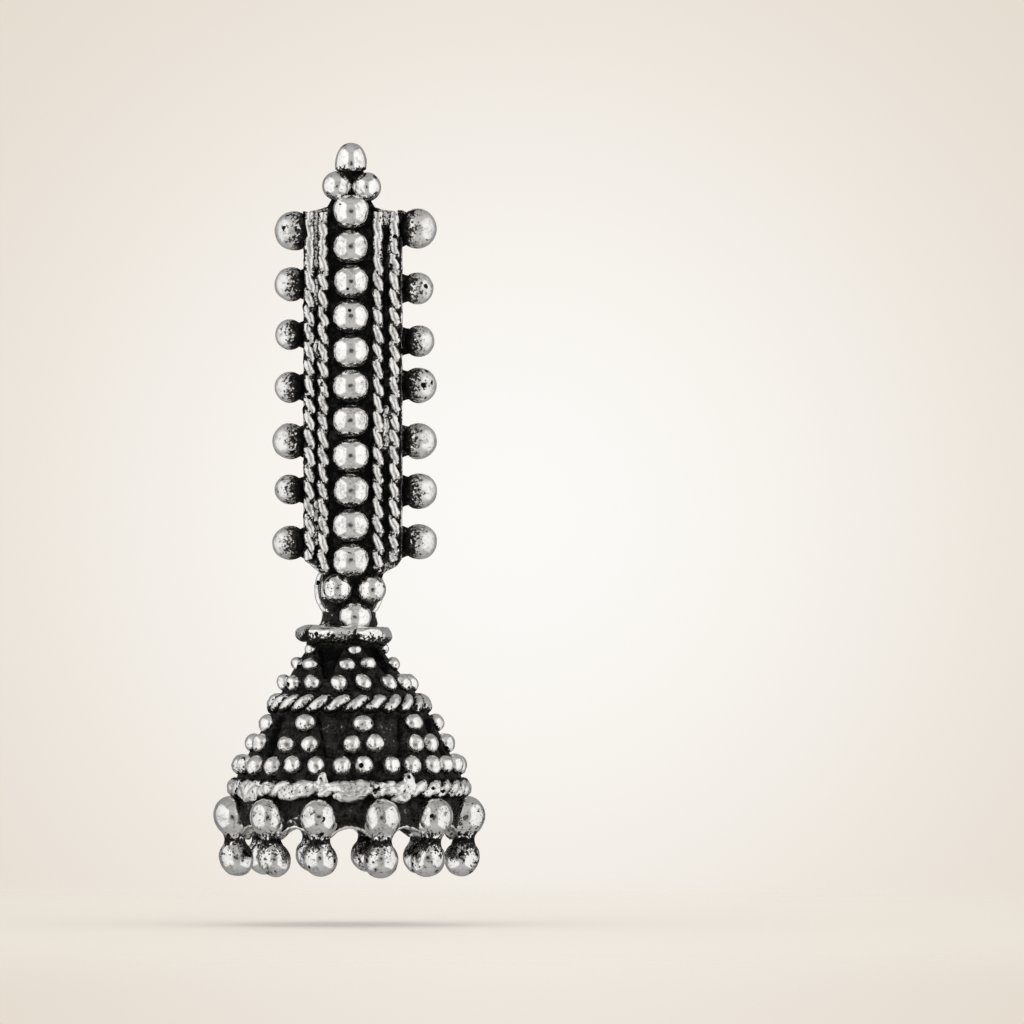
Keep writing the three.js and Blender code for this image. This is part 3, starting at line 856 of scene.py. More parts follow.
@dataclass
class EarPlate:
    """Bar with its beads, wires, finial, trefoil and eye, cast and soldered in one."""

    bar_width: float = 7.4
    bar_height: float = 26.8
    thickness: float = 1.1
    bar_top: float = 3.8
    bar_aside: float = 0.15
    column_beads: int = 11
    column_first_down: float = 0.05
    column_last_up: float = 0.72
    column_bead: tuple[float, float, float] = (2.78, 2.3, 2.5)
    column_raised: float = 0.3
    finial_height: float = 5.1
    finial_bead: float = 2.2
    finial_top: tuple[float, float, float] = (2.36, 2.1, 2.1)
    finial_top_up: float = 0.797
    trefoil_height: float = 4.2
    trefoil_bead: float = 2.1
    side_bead: float = 2.6
    reach_left: float = 1.0
    reach_right: float = 1.24
    stub_height: float = 2.05
    solder_depth: float = 0.32
    edge_round: float = 0.22
    thin_share: float = 0.8  # thickness of the finial's and trefoil's backing in the bar's
    corner_width: float = 1.9  # the lower corners are cut off by this much across
    corner_height: float = 1.15
    wire_pitch: float = 1.3  # length of wire from one crossing to the next
    eye_radius: float = 0.95
    eye_wire: float = 0.7
    eye_place: tuple[float, float, float] = (-0.15, 1.0, -22.22)

    SIDES_LEFT = (  # way down, size and shift outwards
        (0.055, 1.12, -0.28), (0.204, 0.98, -0.1), (0.344, 0.87, 0.0), (0.492, 0.88, 0.0),
        (0.642, 1.03, 0.0), (0.777, 0.87, 0.0), (0.926, 0.99, 0.0),
    )
    SIDES_RIGHT = (
        (0.049, 1.14, -0.12), (0.216, 0.92, -0.1), (0.363, 0.9, 0.0), (0.486, 1.01, 0.0),
        (0.642, 1.03, 0.0), (0.781, 1.03, 0.0), (0.923, 1.02, 0.0),
    )
    FINIAL = ((-0.204, 0.369, 1.02, 1.0), (0.2255, 0.353, 1.02, 0.99))  # across, up, wide, tall
    DOME = (  # radius and height
        (0.01, -0.5), (0.44, -0.5), (0.49, -0.45), (0.5, -0.3), (0.49, -0.12), (0.46, 0.05),
        (0.4, 0.22), (0.31, 0.36), (0.2, 0.45), (0.1, 0.49), (0.01, 0.5),
    )
    TREFOIL = (  # across, down, wide, tall
        (-0.237, 0.335, 1.09, 1.09), (0.369, 0.345, 1.02, 1.04), (0.077, 0.84, 1.15, 1.1),
    )
    SIDE_WEAR = {-1: (0.47, 0.64), 1: (0.58, 0.54)}  # at a bead's middle, and its rise outwards
    WIRES = ((-0.439, 4.6), (-0.303, 4.2), (0.253, 3.4), (0.419, 3.0))  # way across, melted length
    SOLDER = (  # way across, way down, length and width
        (-0.371, 0.05, 4.3, 0.95), (0.345, 0.0, 1.1, 1.2), (0.4, 2.4, 1.9, 0.8),
        (-0.371, 4.9, 2.2, 0.6), (-0.371, 9.5, 1.6, 0.5), (0.336, 14.5, 3.4, 0.7),
        (-0.371, 21.5, 3.6, 0.8),
    )

    @property
    def bar_end(self) -> float:
        """Height of the bar's lower edge."""
        return self.bar_top - self.bar_height

    @property
    def edges(self) -> tuple[float, float]:
        """Left and right edges of the bar."""
        return self.bar_aside - self.bar_width / 2, self.bar_aside + self.bar_width / 2

    def outline(self) -> np.ndarray:
        """Rows of height, left edge, right edge and thickness from the trefoil to the finial."""
        left, right = self.edges
        top, end = self.bar_top, self.bar_end
        thin = self.thin_share * self.thickness
        return np.array(
            [
                (end - 4.1, -0.15, 0.8, thin),
                (end - 3.5, -0.62, 1.2, thin),
                (end - 2.7, -1.2, 1.6, thin),
                (end - 1.8, -1.98, 2.2, thin),
                (end - 0.8, -2.12, 2.28, thin),
                (end - 0.35, left + 1.4, right - 1.45, thin),
                (end - 0.12, left + 1.05, right - 1.2, self.thickness),
                (end + 0.26, left + 0.6, right - 0.42, self.thickness),
                (end + 0.75, left + 0.06, right - 0.05, self.thickness),
                (end + 1.2, left, right, self.thickness),
                (top - 0.7, left, right, self.thickness),
                (top - 0.3, left + 0.12, right - 0.16, self.thickness),
                (top - 0.02, left + 0.55, right - 0.55, self.thickness),
                (top + 0.12, left + 1.2, right - 1.5, self.thickness),
                (top + 0.3, -1.75, 1.78, self.thickness),
                (top + 0.8, -1.5, 1.5, thin),
                (top + 2.2, -1.3, 1.25, thin),
                (top + 3.2, -0.85, 0.85, thin),
                (top + 4.2, -0.5, 0.5, thin),
            ]
        )

    def section(self, z: float, left: float, right: float, thick: float) -> list[tuple[float, ...]]:
        """Corners of the backing at one height, its four edges rounded."""
        radius = min(self.edge_round, thick / 2.2)
        middle, half = (left + right) / 2, (right - left) / 2 - radius
        corners = []
        for face, y, start in ((1, -thick + radius, math.pi), (-1, -radius, 0.0)):
            for side, turn in ((-face, start), (face, start + math.pi / 2)):
                for angle in np.linspace(turn, turn + math.pi / 2, 5):
                    x = middle + side * half + radius * math.cos(angle)
                    corners.append((x, y + radius * math.sin(angle), z))
                if side == -face:
                    flat = np.linspace(-face * half, face * half, 40)[1:-1]
                    corners += [(middle + x, y - face * radius, z) for x in flat]
        return corners

    def backing(self, shop: Workshop) -> bpy.types.Object:
        """Bar and the backing of the finial and trefoil, lofted in one from the outline."""
        table = self.outline()
        pairs = zip(table[:-1, 0], table[1:, 0])
        steps = [np.linspace(low, high, 120 if high - low > 5 else 5, endpoint=False) for low, high in pairs]
        heights = np.concatenate(steps + [table[-1:, 0]])
        columns = [np.interp(heights, table[:, 0], table[:, n]) for n in (1, 2, 3)]
        rings = [self.section(*row) for row in zip(heights, *columns)]
        left, right = self.edges

        def wear(at: np.ndarray) -> np.ndarray:
            """The front is black between the wires; edges and back are rubbed."""
            edge = np.minimum(at[:, 0] - left, right - at[:, 0])
            rubbed = eased(0.25, 0.0, edge) * 0.45
            back = eased(-0.25, 0.0, at[:, 1]) * 0.48
            from_top, from_end = at[:, 2] - self.bar_top, at[:, 2] - self.bar_end
            top = eased(-0.5, 0.0, from_top) * (from_top < 0.2)
            lower = eased(1.2, 0.2, from_end) * (from_end > -0.4)
            front_edge = (np.abs(at[:, 0] - self.bar_aside) > 1.8) & (at[:, 1] < -0.3)
            return 0.12 + rubbed + back + (0.38 * top + 0.36 * lower) * front_edge

        skin = shop.uneven(0.16, 0.9, shop.recess)
        return shop.dressed("backing", lofted(np.array(rings), wear), skin)

    def column(self, shop: Workshop) -> bpy.types.Object:
        """Column of large beads."""

        def wear(at: np.ndarray) -> np.ndarray:
            """Polished in front, with black along the lower edge."""
            low = eased(0.58, 0.8, -at[:, 2]) * eased(1.0, 0.92, -at[:, 2])
            return 0.85 + 0.15 * -at[:, 1] - 0.58 * low

        bead = ball(36, 24, wear)
        bead.points = self.squared(bead.points)
        part = bead.object("column_bead")
        length = self.bar_height - self.column_first_down - self.column_last_up
        top = self.bar_top - self.column_first_down
        sizes = {
            "Part": part,
            "Count": self.column_beads,
            "Start": (0.0, -self.thickness - self.column_raised, top),
            "Step": length / (self.column_beads - 1),
            "Size": self.column_bead,
            "Uneven": 0.025,
        }
        made = shop.line.grow("column", sizes | shop.uneven(0.07, 1.5, shop.beads))
        bpy.data.objects.remove(part)
        return made

    @staticmethod
    def squared(points: np.ndarray, power: float = 2.3) -> np.ndarray:
        """Squares the round outline of a bead a little, as seen from the front."""
        across, up = np.abs(points[:, 0]), np.abs(points[:, 2])
        square = np.maximum((across**power + up**power) ** (1 / power), 1e-6)
        grown = np.maximum(np.hypot(across, up), 1e-6) / square
        return points * np.stack([grown, np.ones(len(points)), grown], axis=1)

    def clusters(self, shop: Workshop) -> bpy.types.Object:
        """Beads of the finial and of the trefoil."""
        rows = []
        depth = -self.thin_share * self.thickness
        for table, start, reach, bead in (
            (self.FINIAL, self.bar_top, self.finial_height, self.finial_bead),
            (self.TREFOIL, self.bar_end, -self.trefoil_height, self.trefoil_bead),
        ):
            for across, far, wide, tall in table:
                place = Vector((across * abs(reach), depth, start + far * reach))
                rows.append((place, Vector((wide, 1, tall)) * bead, Vector()))

        def wear(at: np.ndarray) -> np.ndarray:
            """Polished, with black towards the bar and mottling below."""
            low = eased(0.2, 0.9, -at[:, 2])
            return 0.71 + 0.15 * -at[:, 1] - 0.34 * low - 0.3 * eased(0.2, 0.7, at[:, 1])

        return shop.placed("clusters", ball(32, 22, wear), rows, shop.uneven(0.14, 1.2, shop.beads))

    def dome(self, shop: Workshop) -> bpy.types.Object:
        """Top of the finial, a dome cut flat below."""

        def wear(at: np.ndarray) -> np.ndarray:
            """Polished down to a black foot."""
            return 0.86 - 0.5 * eased(-0.26, -0.46, at[:, 2])

        made = turned(np.array(self.DOME), 36, wear)
        up = self.bar_top + self.finial_top_up * self.finial_height
        made.points = made.points * self.finial_top + (0, -self.thin_share * self.thickness, up)
        return shop.dressed("dome", made, shop.uneven(0.2, 1.0, shop.beads))

    def side_beads(self, shop: Workshop) -> list[bpy.types.Object]:
        """Beads on black stubs along both edges of the bar."""
        made = []
        for side, edge, reach, table in (
            (-1, self.edges[0], self.reach_left, self.SIDES_LEFT),
            (1, self.edges[1], self.reach_right, self.SIDES_RIGHT),
        ):
            beads, stubs = [], []
            for down, size, out in table:
                z = self.bar_top - down * self.bar_height
                place = Vector((edge + side * (reach + out), -self.thickness / 2, z))
                beads.append((place, Vector((1, 1, 1)) * size * self.side_bead, Vector()))
                stubs.append((Vector((edge, -self.thickness / 2, z)), Vector((1, 1, size)), Vector()))
            skin = shop.uneven(0.16, 1.2, shop.satin)
            made.append(shop.placed("side_beads", self.side_part(side), beads, skin))
            made.append(shop.placed("stubs", self.stub(side, reach), stubs, skin))
        return made

    def side_part(self, side: int) -> Surface:
        """One bead of the left or the right side."""
        base, rise = self.SIDE_WEAR[side]

        def wear(at: np.ndarray) -> np.ndarray:
            """Polished away from the bar, then speckled, and black towards the bar."""
            out = side * at[:, 0]
            return base + rise * out - 0.3 * eased(0.35, 0.7, -out)

        return ball(36, 24, wear)

    def stub(self, side: int, reach: float) -> Surface:
        """Waisted stub between the bar's edge and a bead."""
        turn = steps_round(20)
        deep = 0.42 * self.thickness
        rings = []
        for share in np.linspace(-0.3, 1, 16):
            flare = (1 - min(1, max(0, share) / 0.5)) ** 2
            half = self.stub_height / 2 * (1 + 0.16 * flare)
            x = side * reach * share
            rings.append([(x, deep * math.cos(a), half * math.sin(a)) for a in turn])
        return lofted(np.array(rings), even(0.14))

    def wires(self, shop: Workshop) -> list[bpy.types.Object]:
        """Twisted wires on both sides of the column."""
        made = []
        left, right = self.edges
        for across, melted in self.WIRES:
            x = self.bar_aside + across * self.bar_width
            cut = self.corner_height * max(0.0, 1 - min(x - left, right - x) / self.corner_width)
            length = self.bar_height - cut + 0.05
            sizes = {
                "Points": 280,
                "Strand": 0.325,
                "Winding": 0.18,
                "Crossings": length / self.wire_pitch,
                "Strand height": 0.0,
                "Top": (x, -self.thickness - 0.1, self.bar_top - 0.1),
                "Length": length,
                "Melted": melted,
            }
            made.append(shop.wire.grow("wire", sizes | shop.uneven(0.34, 0.7, shop.satin)))
        return made

    def solder(self, shop: Workshop) -> list[bpy.types.Object]:
        """Strips of solder that fill the troughs between the wires near their tops."""
        made = []
        turn = steps_round(16)
        share = np.linspace(0, 1, 40)[:, None]
        swell = np.sqrt(np.clip(1 - (2 * share - 1) ** 8, 0.01, 1))
        for across, down, length, wide in self.SOLDER:
            rings = np.stack(
                [
                    self.bar_aside + across * self.bar_width + wide / 2 * swell * np.cos(turn),
                    -self.thickness + self.solder_depth * swell * np.sin(turn),
                    self.bar_top - down - length * share * np.ones_like(turn),
                ],
                axis=-1,
            )
            skin = shop.uneven(0.36, 0.55, shop.satin)
            made.append(shop.dressed("solder", lofted(rings, even(0.54)), skin))
        return made

    def eye(self, shop: Workshop) -> bpy.types.Object:
        """Eye on the back of the plate, in the plane across the bar."""
        sine, cosine, across = torus(self.eye_radius, self.eye_wire / 2, 48, 16)
        rings = np.stack([across, cosine, sine], axis=-1) + self.eye_place
        made = lofted(rings, even(0.7), closed=True)
        return shop.dressed("eye", made, shop.uneven(0.05, 0.8, shop.beads))

    def build(self, shop: Workshop) -> None:
        """Builds and dresses the whole plate."""
        pieces = {
            "plate_backing": [self.backing(shop), self.eye(shop)],
            "plate_column": [self.column(shop), self.clusters(shop), self.dome(shop)],
            "plate_side_beads": self.side_beads(shop),
            "plate_wires": self.wires(shop) + self.solder(shop),
        }
        for name, parts in pieces.items():
            finished(name, parts, Body.PLATE, Slot.PLATE, "ear_plate", Vector())


@dataclass
class EarPost:
    """Pad and pin soldered to the back of the plate."""

    diameter: float = 0.9
    length: float = 11.0
    pad: float = 2.6
    pad_thickness: float = 0.4
    pad_bevel: float = 0.08
    fillet: float = 0.25
    sides: int = 48

    def build(self, shop: Workshop) -> None:
        """Turns the post from one outline along Y."""
        pin, pad = self.diameter / 2, self.pad / 2
        thick, bevel = self.pad_thickness, self.pad_bevel
        profile = [(0.02, 0.0), (pad - 0.05, 0.0), (pad, 0.05), (pad, thick - bevel), (pad - bevel, thick)]
        for angle in np.linspace(0, math.pi / 2, 6):
            out, up = self.fillet * (1 - math.sin(angle)), self.fillet * (1 - math.cos(angle))
            profile.append((pin + out, thick + up))
        for angle in np.linspace(0, 1.5, 8):
            profile.append((pin * math.cos(angle), self.length - pin + pin * math.sin(angle)))
        made = turned(np.array(profile), self.sides, even(0.9))
        made.points = made.points[:, [0, 2, 1]]
        post = made.object("post")
        post.data.materials.append(shop.drawn)
        finished("smooth_post", [post], Body.PLATE, Slot.POST, "ear_post", Vector())


# The bell


@dataclass
class Bell:
    """Ring, neck, collar, wall, beads, ropes and drops of the hanging bell, cast in one."""

    aside: tuple[float, float, float] = (-0.15, 1.0, 0.0)
    ring_diameter: float = 5.24
    ring_wire: float = 0.64
    ring_z: float = -24.5
    collar_z: float = -28.02
    collar_diameter: float = 7.3
    collar_roll: float = 1.28
    collar_up: float = 0.15
    collar_tilt: float = 0.03
    collar_seam: float = -2.8
    collar_break: float = 0.9
    shoulder_aside: float = -0.42
    flare_power: float = 3.4  # how late the neck widens to the collar
    neck_width: float = 3.8
    neck_top_width: float = 4.3
    neck_depth: float = 1.2
    neck_rise: float = 1.75
    rise: float = 14.2
    rim_radius: float = 8.6
    wall: float = 1.0
    window_depth: float = 0.6
    bead: float = 1.3
    bead_raised: float = 0.12
    melt_deep: float = 0.85
    melt_out: float = 0.4
    upper_motifs: int = 5
    lower_motifs: int = 9
    upper_turn: float = math.radians(16.5)
    lower_turn: float = math.radians(9.3)
    pair_turn: float = math.radians(16.3)
    rim_pairs: int = 12
    rim_bead: tuple[float, float] = (2.92, 2.96)
    rim_bead_up: float = 0.72
    drop_bead: float = 2.62
    drop_below: float = 3.07
    drop_inset: float = 0.27
    drop_neck: float = 1.46
    pair_outset: float = 0.4
    scallop_deep: float = 0.95
    scallop_wide: float = 1.15
    scallop_up: float = 0.12  # how far the rim is drawn up between the pairs
    fall_from: float = 0.86  # way down the wall at which the scallops begin
    rim_bevel: float = 0.12

    # Way down and radius, as shares of the rise and of the rim's radius.
    OUTSIDE = ((0, 0.32), (0.06, 0.325), (0.356, 0.65), (0.735, 0.978), (1, 1))
    UPPER_ROWS = (  # way down, beads in a motif, their distance, width and height
        (0.067, 1, 0.0, 0.8, 0.64),
        (0.146, 2, 0.365, 1.02, 0.76),
        (0.246, 3, 0.33, 1.02, 1.02),
    )
    LOWER_ROWS = (
        (0.456, 1, 0.0, 1.3, 1.0),
        (0.563, 2, 0.375, 1.12, 1.1),
        (0.676, 3, 0.325, 1.15, 1.15),
    )
    # Way down, crossings, strand, winding, way out and strand height.
    ROPES = ((0.356, 25, 0.42, 0.28, -0.12, 0.42), (0.796, 40, 0.44, 0.2, 0.08, 0.32))
    MELTS = (  # turn in degrees, rise, width, height, tilt in degrees
        (-56.6, -0.19, 2.85, 1.6, 0), (-42.0, 0.04, 1.7, 1.1, 0), (-24.4, -0.07, 3.6, 1.25, 16),
        (-12.6, 0.4, 0.95, 1.6, -4), (-13.0, 0.22, 1.9, 0.9, 0), (-4.0, 0.1, 2.6, 0.9, 0),
        (1.4, 0.3, 3.9, 0.8, 0), (0.5, -0.5, 2.6, 0.95, 0), (12.0, 0.15, 2.6, 0.85, 4),
        (19.8, 0.0, 2.3, 0.85, 0), (28.9, 0.0, 2.3, 1.35, 6), (30.6, 0.5, 0.95, 1.3, 0),
        (26.6, -0.6, 1.5, 0.9, 0), (46.7, 0.0, 1.4, 1.05, 0),
        (118.0, 0.0, 2.8, 1.3, 8), (160.0, -0.1, 2.2, 1.5, 0), (204.0, 0.1, 3.2, 1.1, -10),
        (248.0, 0.0, 1.6, 1.4, 0),
    )
    QUIRKS = {  # number of a pair: turn and tilt in degrees, and size
        1: (-1.3, 6.1, 1.0), 2: (0.6, 1.5, 0.98), 4: (8.0, 3.0, 0.97), 5: (4.8, 0.0, 1.0),
        6: (2.4, 0.0, 1.0), 7: (2.0, 0.0, 1.0), 8: (1.0, 2.5, 0.97), 9: (-0.6, 0.0, 1.0),
        10: (2.3, -6.6, 0.94),
    }
    USUAL = (0.0, 0.0, 1.0)
    UPPER_WINDOW = (0.05, 0.212, 2.1)  # way down of its top and foot, and width
    LOWER_WINDOW = (0.412, 0.625, 2.6)
    WINDOW_FOOT = 0.25  # width of a window's lower end, as a share of its width

    @property
    def rim_z(self) -> float:
        """Height of the rim's lower edge."""
        return self.collar_z - self.rise

    @property
    def ways(self) -> np.ndarray:
        """Turn of each pair of beads at the rim."""
        aside = [self.QUIRKS.get(number, self.USUAL)[0] for number in range(self.rim_pairs)]
        return self.pair_turn + steps_round(self.rim_pairs) + np.radians(aside)

    @property
    def motifs(self) -> tuple[tuple[int, float, tuple, tuple], ...]:
        """Count, first turn, bead rows and window of the upper and of the lower motifs."""
        return (
            (self.upper_motifs, self.upper_turn, self.UPPER_ROWS, self.UPPER_WINDOW),
            (self.lower_motifs, self.lower_turn, self.LOWER_ROWS, self.LOWER_WINDOW),
        )

    def radius_at(self, down: np.ndarray) -> np.ndarray:
        """Radius of the wall at shares of its way down."""
        return np.interp(down, *np.array(self.OUTSIDE).T) * self.rim_radius

    def wall_at(self, down: float) -> tuple[float, float, float]:
        """Radius, height and upward lean of the wall at a share of its way down."""
        table = np.array(self.OUTSIDE)
        row = max(1, int(np.searchsorted(table[:, 0], down)))
        (d0, o0), (d1, o1) = table[row - 1], table[row]
        lean = math.atan2((o1 - o0) * self.rim_radius, (d1 - d0) * self.rise)
        return float(self.radius_at(down)), self.collar_z - down * self.rise, lean

    def sunk(self, turn: np.ndarray, down: np.ndarray, radius: np.ndarray) -> np.ndarray:
        """How deep the windows sink the wall, as a share from 0 to 1."""
        depth = np.zeros(np.broadcast(turn, down).shape)
        for motifs, first, _, (start, end, width) in self.motifs:
            spacing = FULL_TURN / motifs
            off = (turn - first) % spacing - spacing / 2
            across = np.abs(off) * radius
            share = np.clip((down - start) / (end - start), 0, 1)
            half = width / 2 * (1 - (1 - self.WINDOW_FOOT) * share)
            inside = eased(0.09, -0.09, across - half)
            inside = inside * eased(-0.006, 0.006, down - start) * eased(0.006, -0.006, down - end)
            depth = np.maximum(depth, inside)
        return depth

    def scallop(self, turn: np.ndarray) -> np.ndarray:
        """How far the rim hangs below its own height, most of all behind each pair of beads."""
        off = np.abs((turn[:, None] - self.ways + math.pi) % FULL_TURN - math.pi).min(axis=1)
        lobe = np.exp(-((off * self.rim_radius / self.scallop_wide) ** 2))
        return self.scallop_deep * lobe - self.scallop_up

    def shell(self, shop: Workshop) -> bpy.types.Object:
        """Wall with its sunk windows and its scalloped rim, closed on top and open below."""
        sides, rows, inner_rows = 480, 110, range(109, 8, -4)
        centre, flat = 0.05, 2.0  # radii of the wall's closed middle and of the flat round it
        turn = steps_round(sides)
        down = np.linspace(0, 1, rows)
        height = self.collar_z - down * self.rise
        radius = self.radius_at(down)
        for _ in range(6):
            radius[1:-1] = (radius[:-2] + 2 * radius[1:-1] + radius[2:]) / 4
        lean = np.arctan2(np.gradient(radius), np.gradient(down) * self.rise)
        lower = self.scallop(turn)
        fall = eased(self.fall_from, 1.0, down)
        sink = self.sunk(turn[None, :], down[:, None], radius[:, None]) * self.window_depth

        def ring(out: np.ndarray | float, up: np.ndarray | float) -> np.ndarray:
            """Corners from a radius and a height at each turn."""
            return np.stack([out * np.sin(turn), -out * np.cos(turn), up * np.ones(sides)], axis=-1)

        rings = [ring(out, self.collar_z + 0.3) for out in (centre, flat)]
        for n in range(rows):
            out = radius[n] - sink[n] * math.cos(lean[n])
            up = height[n] - sink[n] * math.sin(lean[n])
            rings.append(ring(out, up - fall[n] * lower))
        for out in (self.rim_radius - self.rim_bevel, self.rim_radius - self.wall + self.rim_bevel):
            rings.append(ring(out, self.rim_z - lower - self.rim_bevel))
        inner = radius - self.wall / np.cos(lean)
        rings += [ring(max(0.4, inner[n]), height[n] - fall[n] * lower) for n in inner_rows]
        rings.append(ring(centre, height[inner_rows[-1]]))

        def wear(at: np.ndarray) -> np.ndarray:
            """Black, rubbed on the band above the rim, along its edge and in the lower windows."""
            share = (self.collar_z - at[:, 2]) / self.rise
            radius = self.radius_at(share)
            outside = eased(-0.25, -0.05, np.hypot(at[:, 0], at[:, 1]) - radius)
            way = np.arctan2(at[:, 0], -at[:, 1])
            edge = eased(0.16, -0.02, at[:, 2] - self.rim_z + self.scallop(way))
            window = self.sunk(way, share, radius) * (share > 0.4)
            band = outside * eased(0.84, 0.9, share)
            return 0.05 + 0.13 * outside + 0.4 * edge + 0.24 * window + 0.1 * band

        skin = shop.uneven(0.14, 0.7, shop.recess)
        return shop.dressed("shell", lofted(np.array(rings), wear), skin)

    def rows(self, shop: Workshop) -> list[bpy.types.Object]:
        """Rows of small beads."""

        def wear(at: np.ndarray) -> np.ndarray:
            """Polished on the crown of the bead and black round its foot, most of all below, where the oxide
            also carries painted shade.
            """
            # the 0.2 * z term darkens each bead's lower side and lightens its top: painted shade laid over
            # the oxide
            return 0.7 + 0.24 * -at[:, 1] + 0.2 * at[:, 2] - 0.4 * eased(-0.15, 0.15, at[:, 1])

        part = ball(24, 18, wear).object("small_bead")
        made = []
        for motifs, turn, table, _ in self.motifs:
            for down, beads, apart, wide, tall in table:
                radius, height, lean = self.wall_at(down)
                sizes = {
                    "Part": part,
                    "Count": motifs * beads,
                    "Radius": radius + self.bead_raised,
                    "Height": height,
                    "First turn": turn,
                    "In a motif": beads,
                    "Apart": apart,
                    "Lean": lean,
                    "Size": (wide * self.bead, tall * self.bead, tall * self.bead),
                    "Uneven": 0.075,
                }
                made.append(shop.ring.grow("bead_row", sizes | shop.uneven(0.2, 0.7, shop.grains)))
        bpy.data.objects.remove(part)
        return made

    def ropes(self, shop: Workshop) -> list[bpy.types.Object]:
        """Twisted ropes above and below the lower rows, the lower one half melted."""
        made = []
        for down, strands, thick, winding, out, tall in self.ROPES:
            radius, height, lean = self.wall_at(down)
            sizes = {
                "Points": strands * 22,
                "Strand": thick,
                "Winding": winding,
                "Crossings": float(strands),
                "Strand height": tall,
                "Radius": radius + out,
                "Height": height,
                "Lean": lean,
            }
            made.append(shop.rope.grow("rope", sizes | shop.uneven(0.22, 0.7, shop.satin)))
        return made

    def melts(self, shop: Workshop) -> bpy.types.Object:
        """Patches where the lower rope melted to a smear."""
        radius, height, lean = self.wall_at(self.ROPES[1][0])
        rows = []
        for turn, up, wide, tall, tilt in self.MELTS:
            way = math.radians(turn)
            out = radius + self.melt_out - up * math.tan(lean)
            place = Vector((out * math.sin(way), -out * math.cos(way), height + up))
            size = Vector((wide, self.melt_deep, tall))
            rows.append((place, size, Vector((-lean, math.radians(-tilt), way))))

        def wear(at: np.ndarray) -> np.ndarray:
            """Rubbed bright, with a mottled foot."""
            return 0.74 - 0.4 * eased(-0.4, 0.3, at[:, 1])

        return shop.placed("melts", ball(32, 20, wear), rows, shop.uneven(0.6, 0.65, shop.satin))

    def pair_profile(self) -> np.ndarray:
        """Radius and height of a rim bead, its waisted neck and its drop bead, from below."""
        wide, tall = self.rim_bead[0] / 2, self.rim_bead[1] / 2
        drop, neck = self.drop_bead / 2, self.drop_neck / 2
        lower = np.linspace(0.02, math.pi - 0.75, 20)
        upper = np.linspace(0.72, math.pi - 0.02, 22)
        low = np.stack([drop * np.sin(lower), -self.drop_below - drop * np.cos(lower)], axis=1)
        high = np.stack([wide * np.sin(upper), -tall * np.cos(upper)], axis=1)
        share = np.linspace(0, 1, 9)[1:-1, None]
        waist = low[-1] + (high[0] - low[-1]) * share
        waist[:, :1] -= (min(low[-1, 0], high[0, 0]) - neck) * np.sin(math.pi * share)
        return np.concatenate([low, waist, high])

    def pairs(self, shop: Workshop) -> bpy.types.Object:
        """Large rim beads, each with its drop bead below on a waisted neck."""

        def wear(at: np.ndarray) -> np.ndarray:
            """Both beads polished, the neck and the drop's top mottled, the wall side black."""
            middle = -self.drop_below / 2
            necked = eased(0.7, 0.15, np.abs(at[:, 2] - middle))
            behind = eased(0.45, 1.2, at[:, 1])
            shoulder = eased(-0.6, 0.9, at[:, 2] + self.drop_below) * (at[:, 2] < middle)
            return 0.77 - 0.34 * necked - 0.5 * behind * (at[:, 2] > middle) - 0.3 * shoulder

        pair = turned(self.pair_profile(), 36, wear)
        pair.points[:, 1] += -pair.points[:, 2] / self.drop_below * self.drop_inset
        rows = []
        out = self.rim_radius + self.pair_outset
        for number, way in enumerate(self.ways):
            _, tilt, size = self.QUIRKS.get(number, self.USUAL)
            place = Vector((out * math.sin(way), -out * math.cos(way), self.rim_z + self.rim_bead_up))
            rows.append((place, Vector((size, size, 1)), Vector((0, math.radians(tilt), way))))
        return shop.placed("rim_pairs", pair, rows, shop.uneven(0.16, 1.2, shop.drops))

    @property
    def ring_radius(self) -> float:
        """Radius of the ring to the middle of its wire."""
        return (self.ring_diameter - self.ring_wire) / 2

    def ring(self) -> Surface:
        """Ring that hangs in the eye, its foot sunk in the neck."""

        def wear(at: np.ndarray) -> np.ndarray:
            """Bright, and black at the foot."""
            return 0.85 - 0.6 * eased(-26, -26.8, at[:, 2])

        sine, cosine, across = torus(self.ring_radius, self.ring_wire / 2, 72, 20)
        return lofted(np.stack([sine, across, cosine + self.ring_z], axis=-1), wear, closed=True)

    def collar(self) -> Surface:
        """Rolled collar, a little out of level."""
        roll, level = self.collar_roll / 2, self.collar_z + self.collar_up
        sine, cosine, across = torus(self.collar_diameter / 2 - roll, roll, 72, 20)
        rings = np.stack([sine, -cosine, across + level - self.collar_tilt * sine], axis=-1)

        def wear(at: np.ndarray) -> np.ndarray:
            """Bright above and outside, black below, in a seam and in a break."""
            up = (at[:, 2] + self.collar_tilt * at[:, 0] - level) / roll
            seam = eased(0.26, 0.1, np.abs(at[:, 0] - self.collar_seam - 0.15 * up))
            gap = eased(0.4, 0.1, np.abs(at[:, 0] - self.collar_break))
            return 0.57 + 0.5 * up - (0.6 * seam + 0.4 * gap) * (at[:, 1] < 0)

        return lofted(rings, wear, closed=True)

    def neck(self) -> Surface:
        """Neck that widens from the foot of the ring and down to the collar."""
        low, high = self.collar_z - 0.1, self.ring_z - self.ring_radius + self.neck_rise
        foot = (self.collar_diameter - self.collar_roll) / 2
        turn = steps_round(48)
        rings = []
        for share in np.linspace(0, 1, 24):
            flare = (1 - share) ** self.flare_power
            top = eased(0.4, 1.0, share)
            waist = self.neck_width / 2 * (1 - top) + self.neck_top_width / 2 * top
            wide = waist * (1 - flare) + foot * flare
            deep = self.neck_depth / 2 * (1 - flare) + (foot - 0.4) * flare
            level = np.full(len(turn), low + (high - low) * share)
            rings.append(np.stack([wide * np.sin(turn), -deep * np.cos(turn), level], axis=-1))

        def wear(at: np.ndarray) -> np.ndarray:
            """Black, a little rubbed at both sides."""
            return 0.3 + 0.1 * eased(1.2, 2.4, np.abs(at[:, 0]))

        return lofted(np.array(rings), wear)

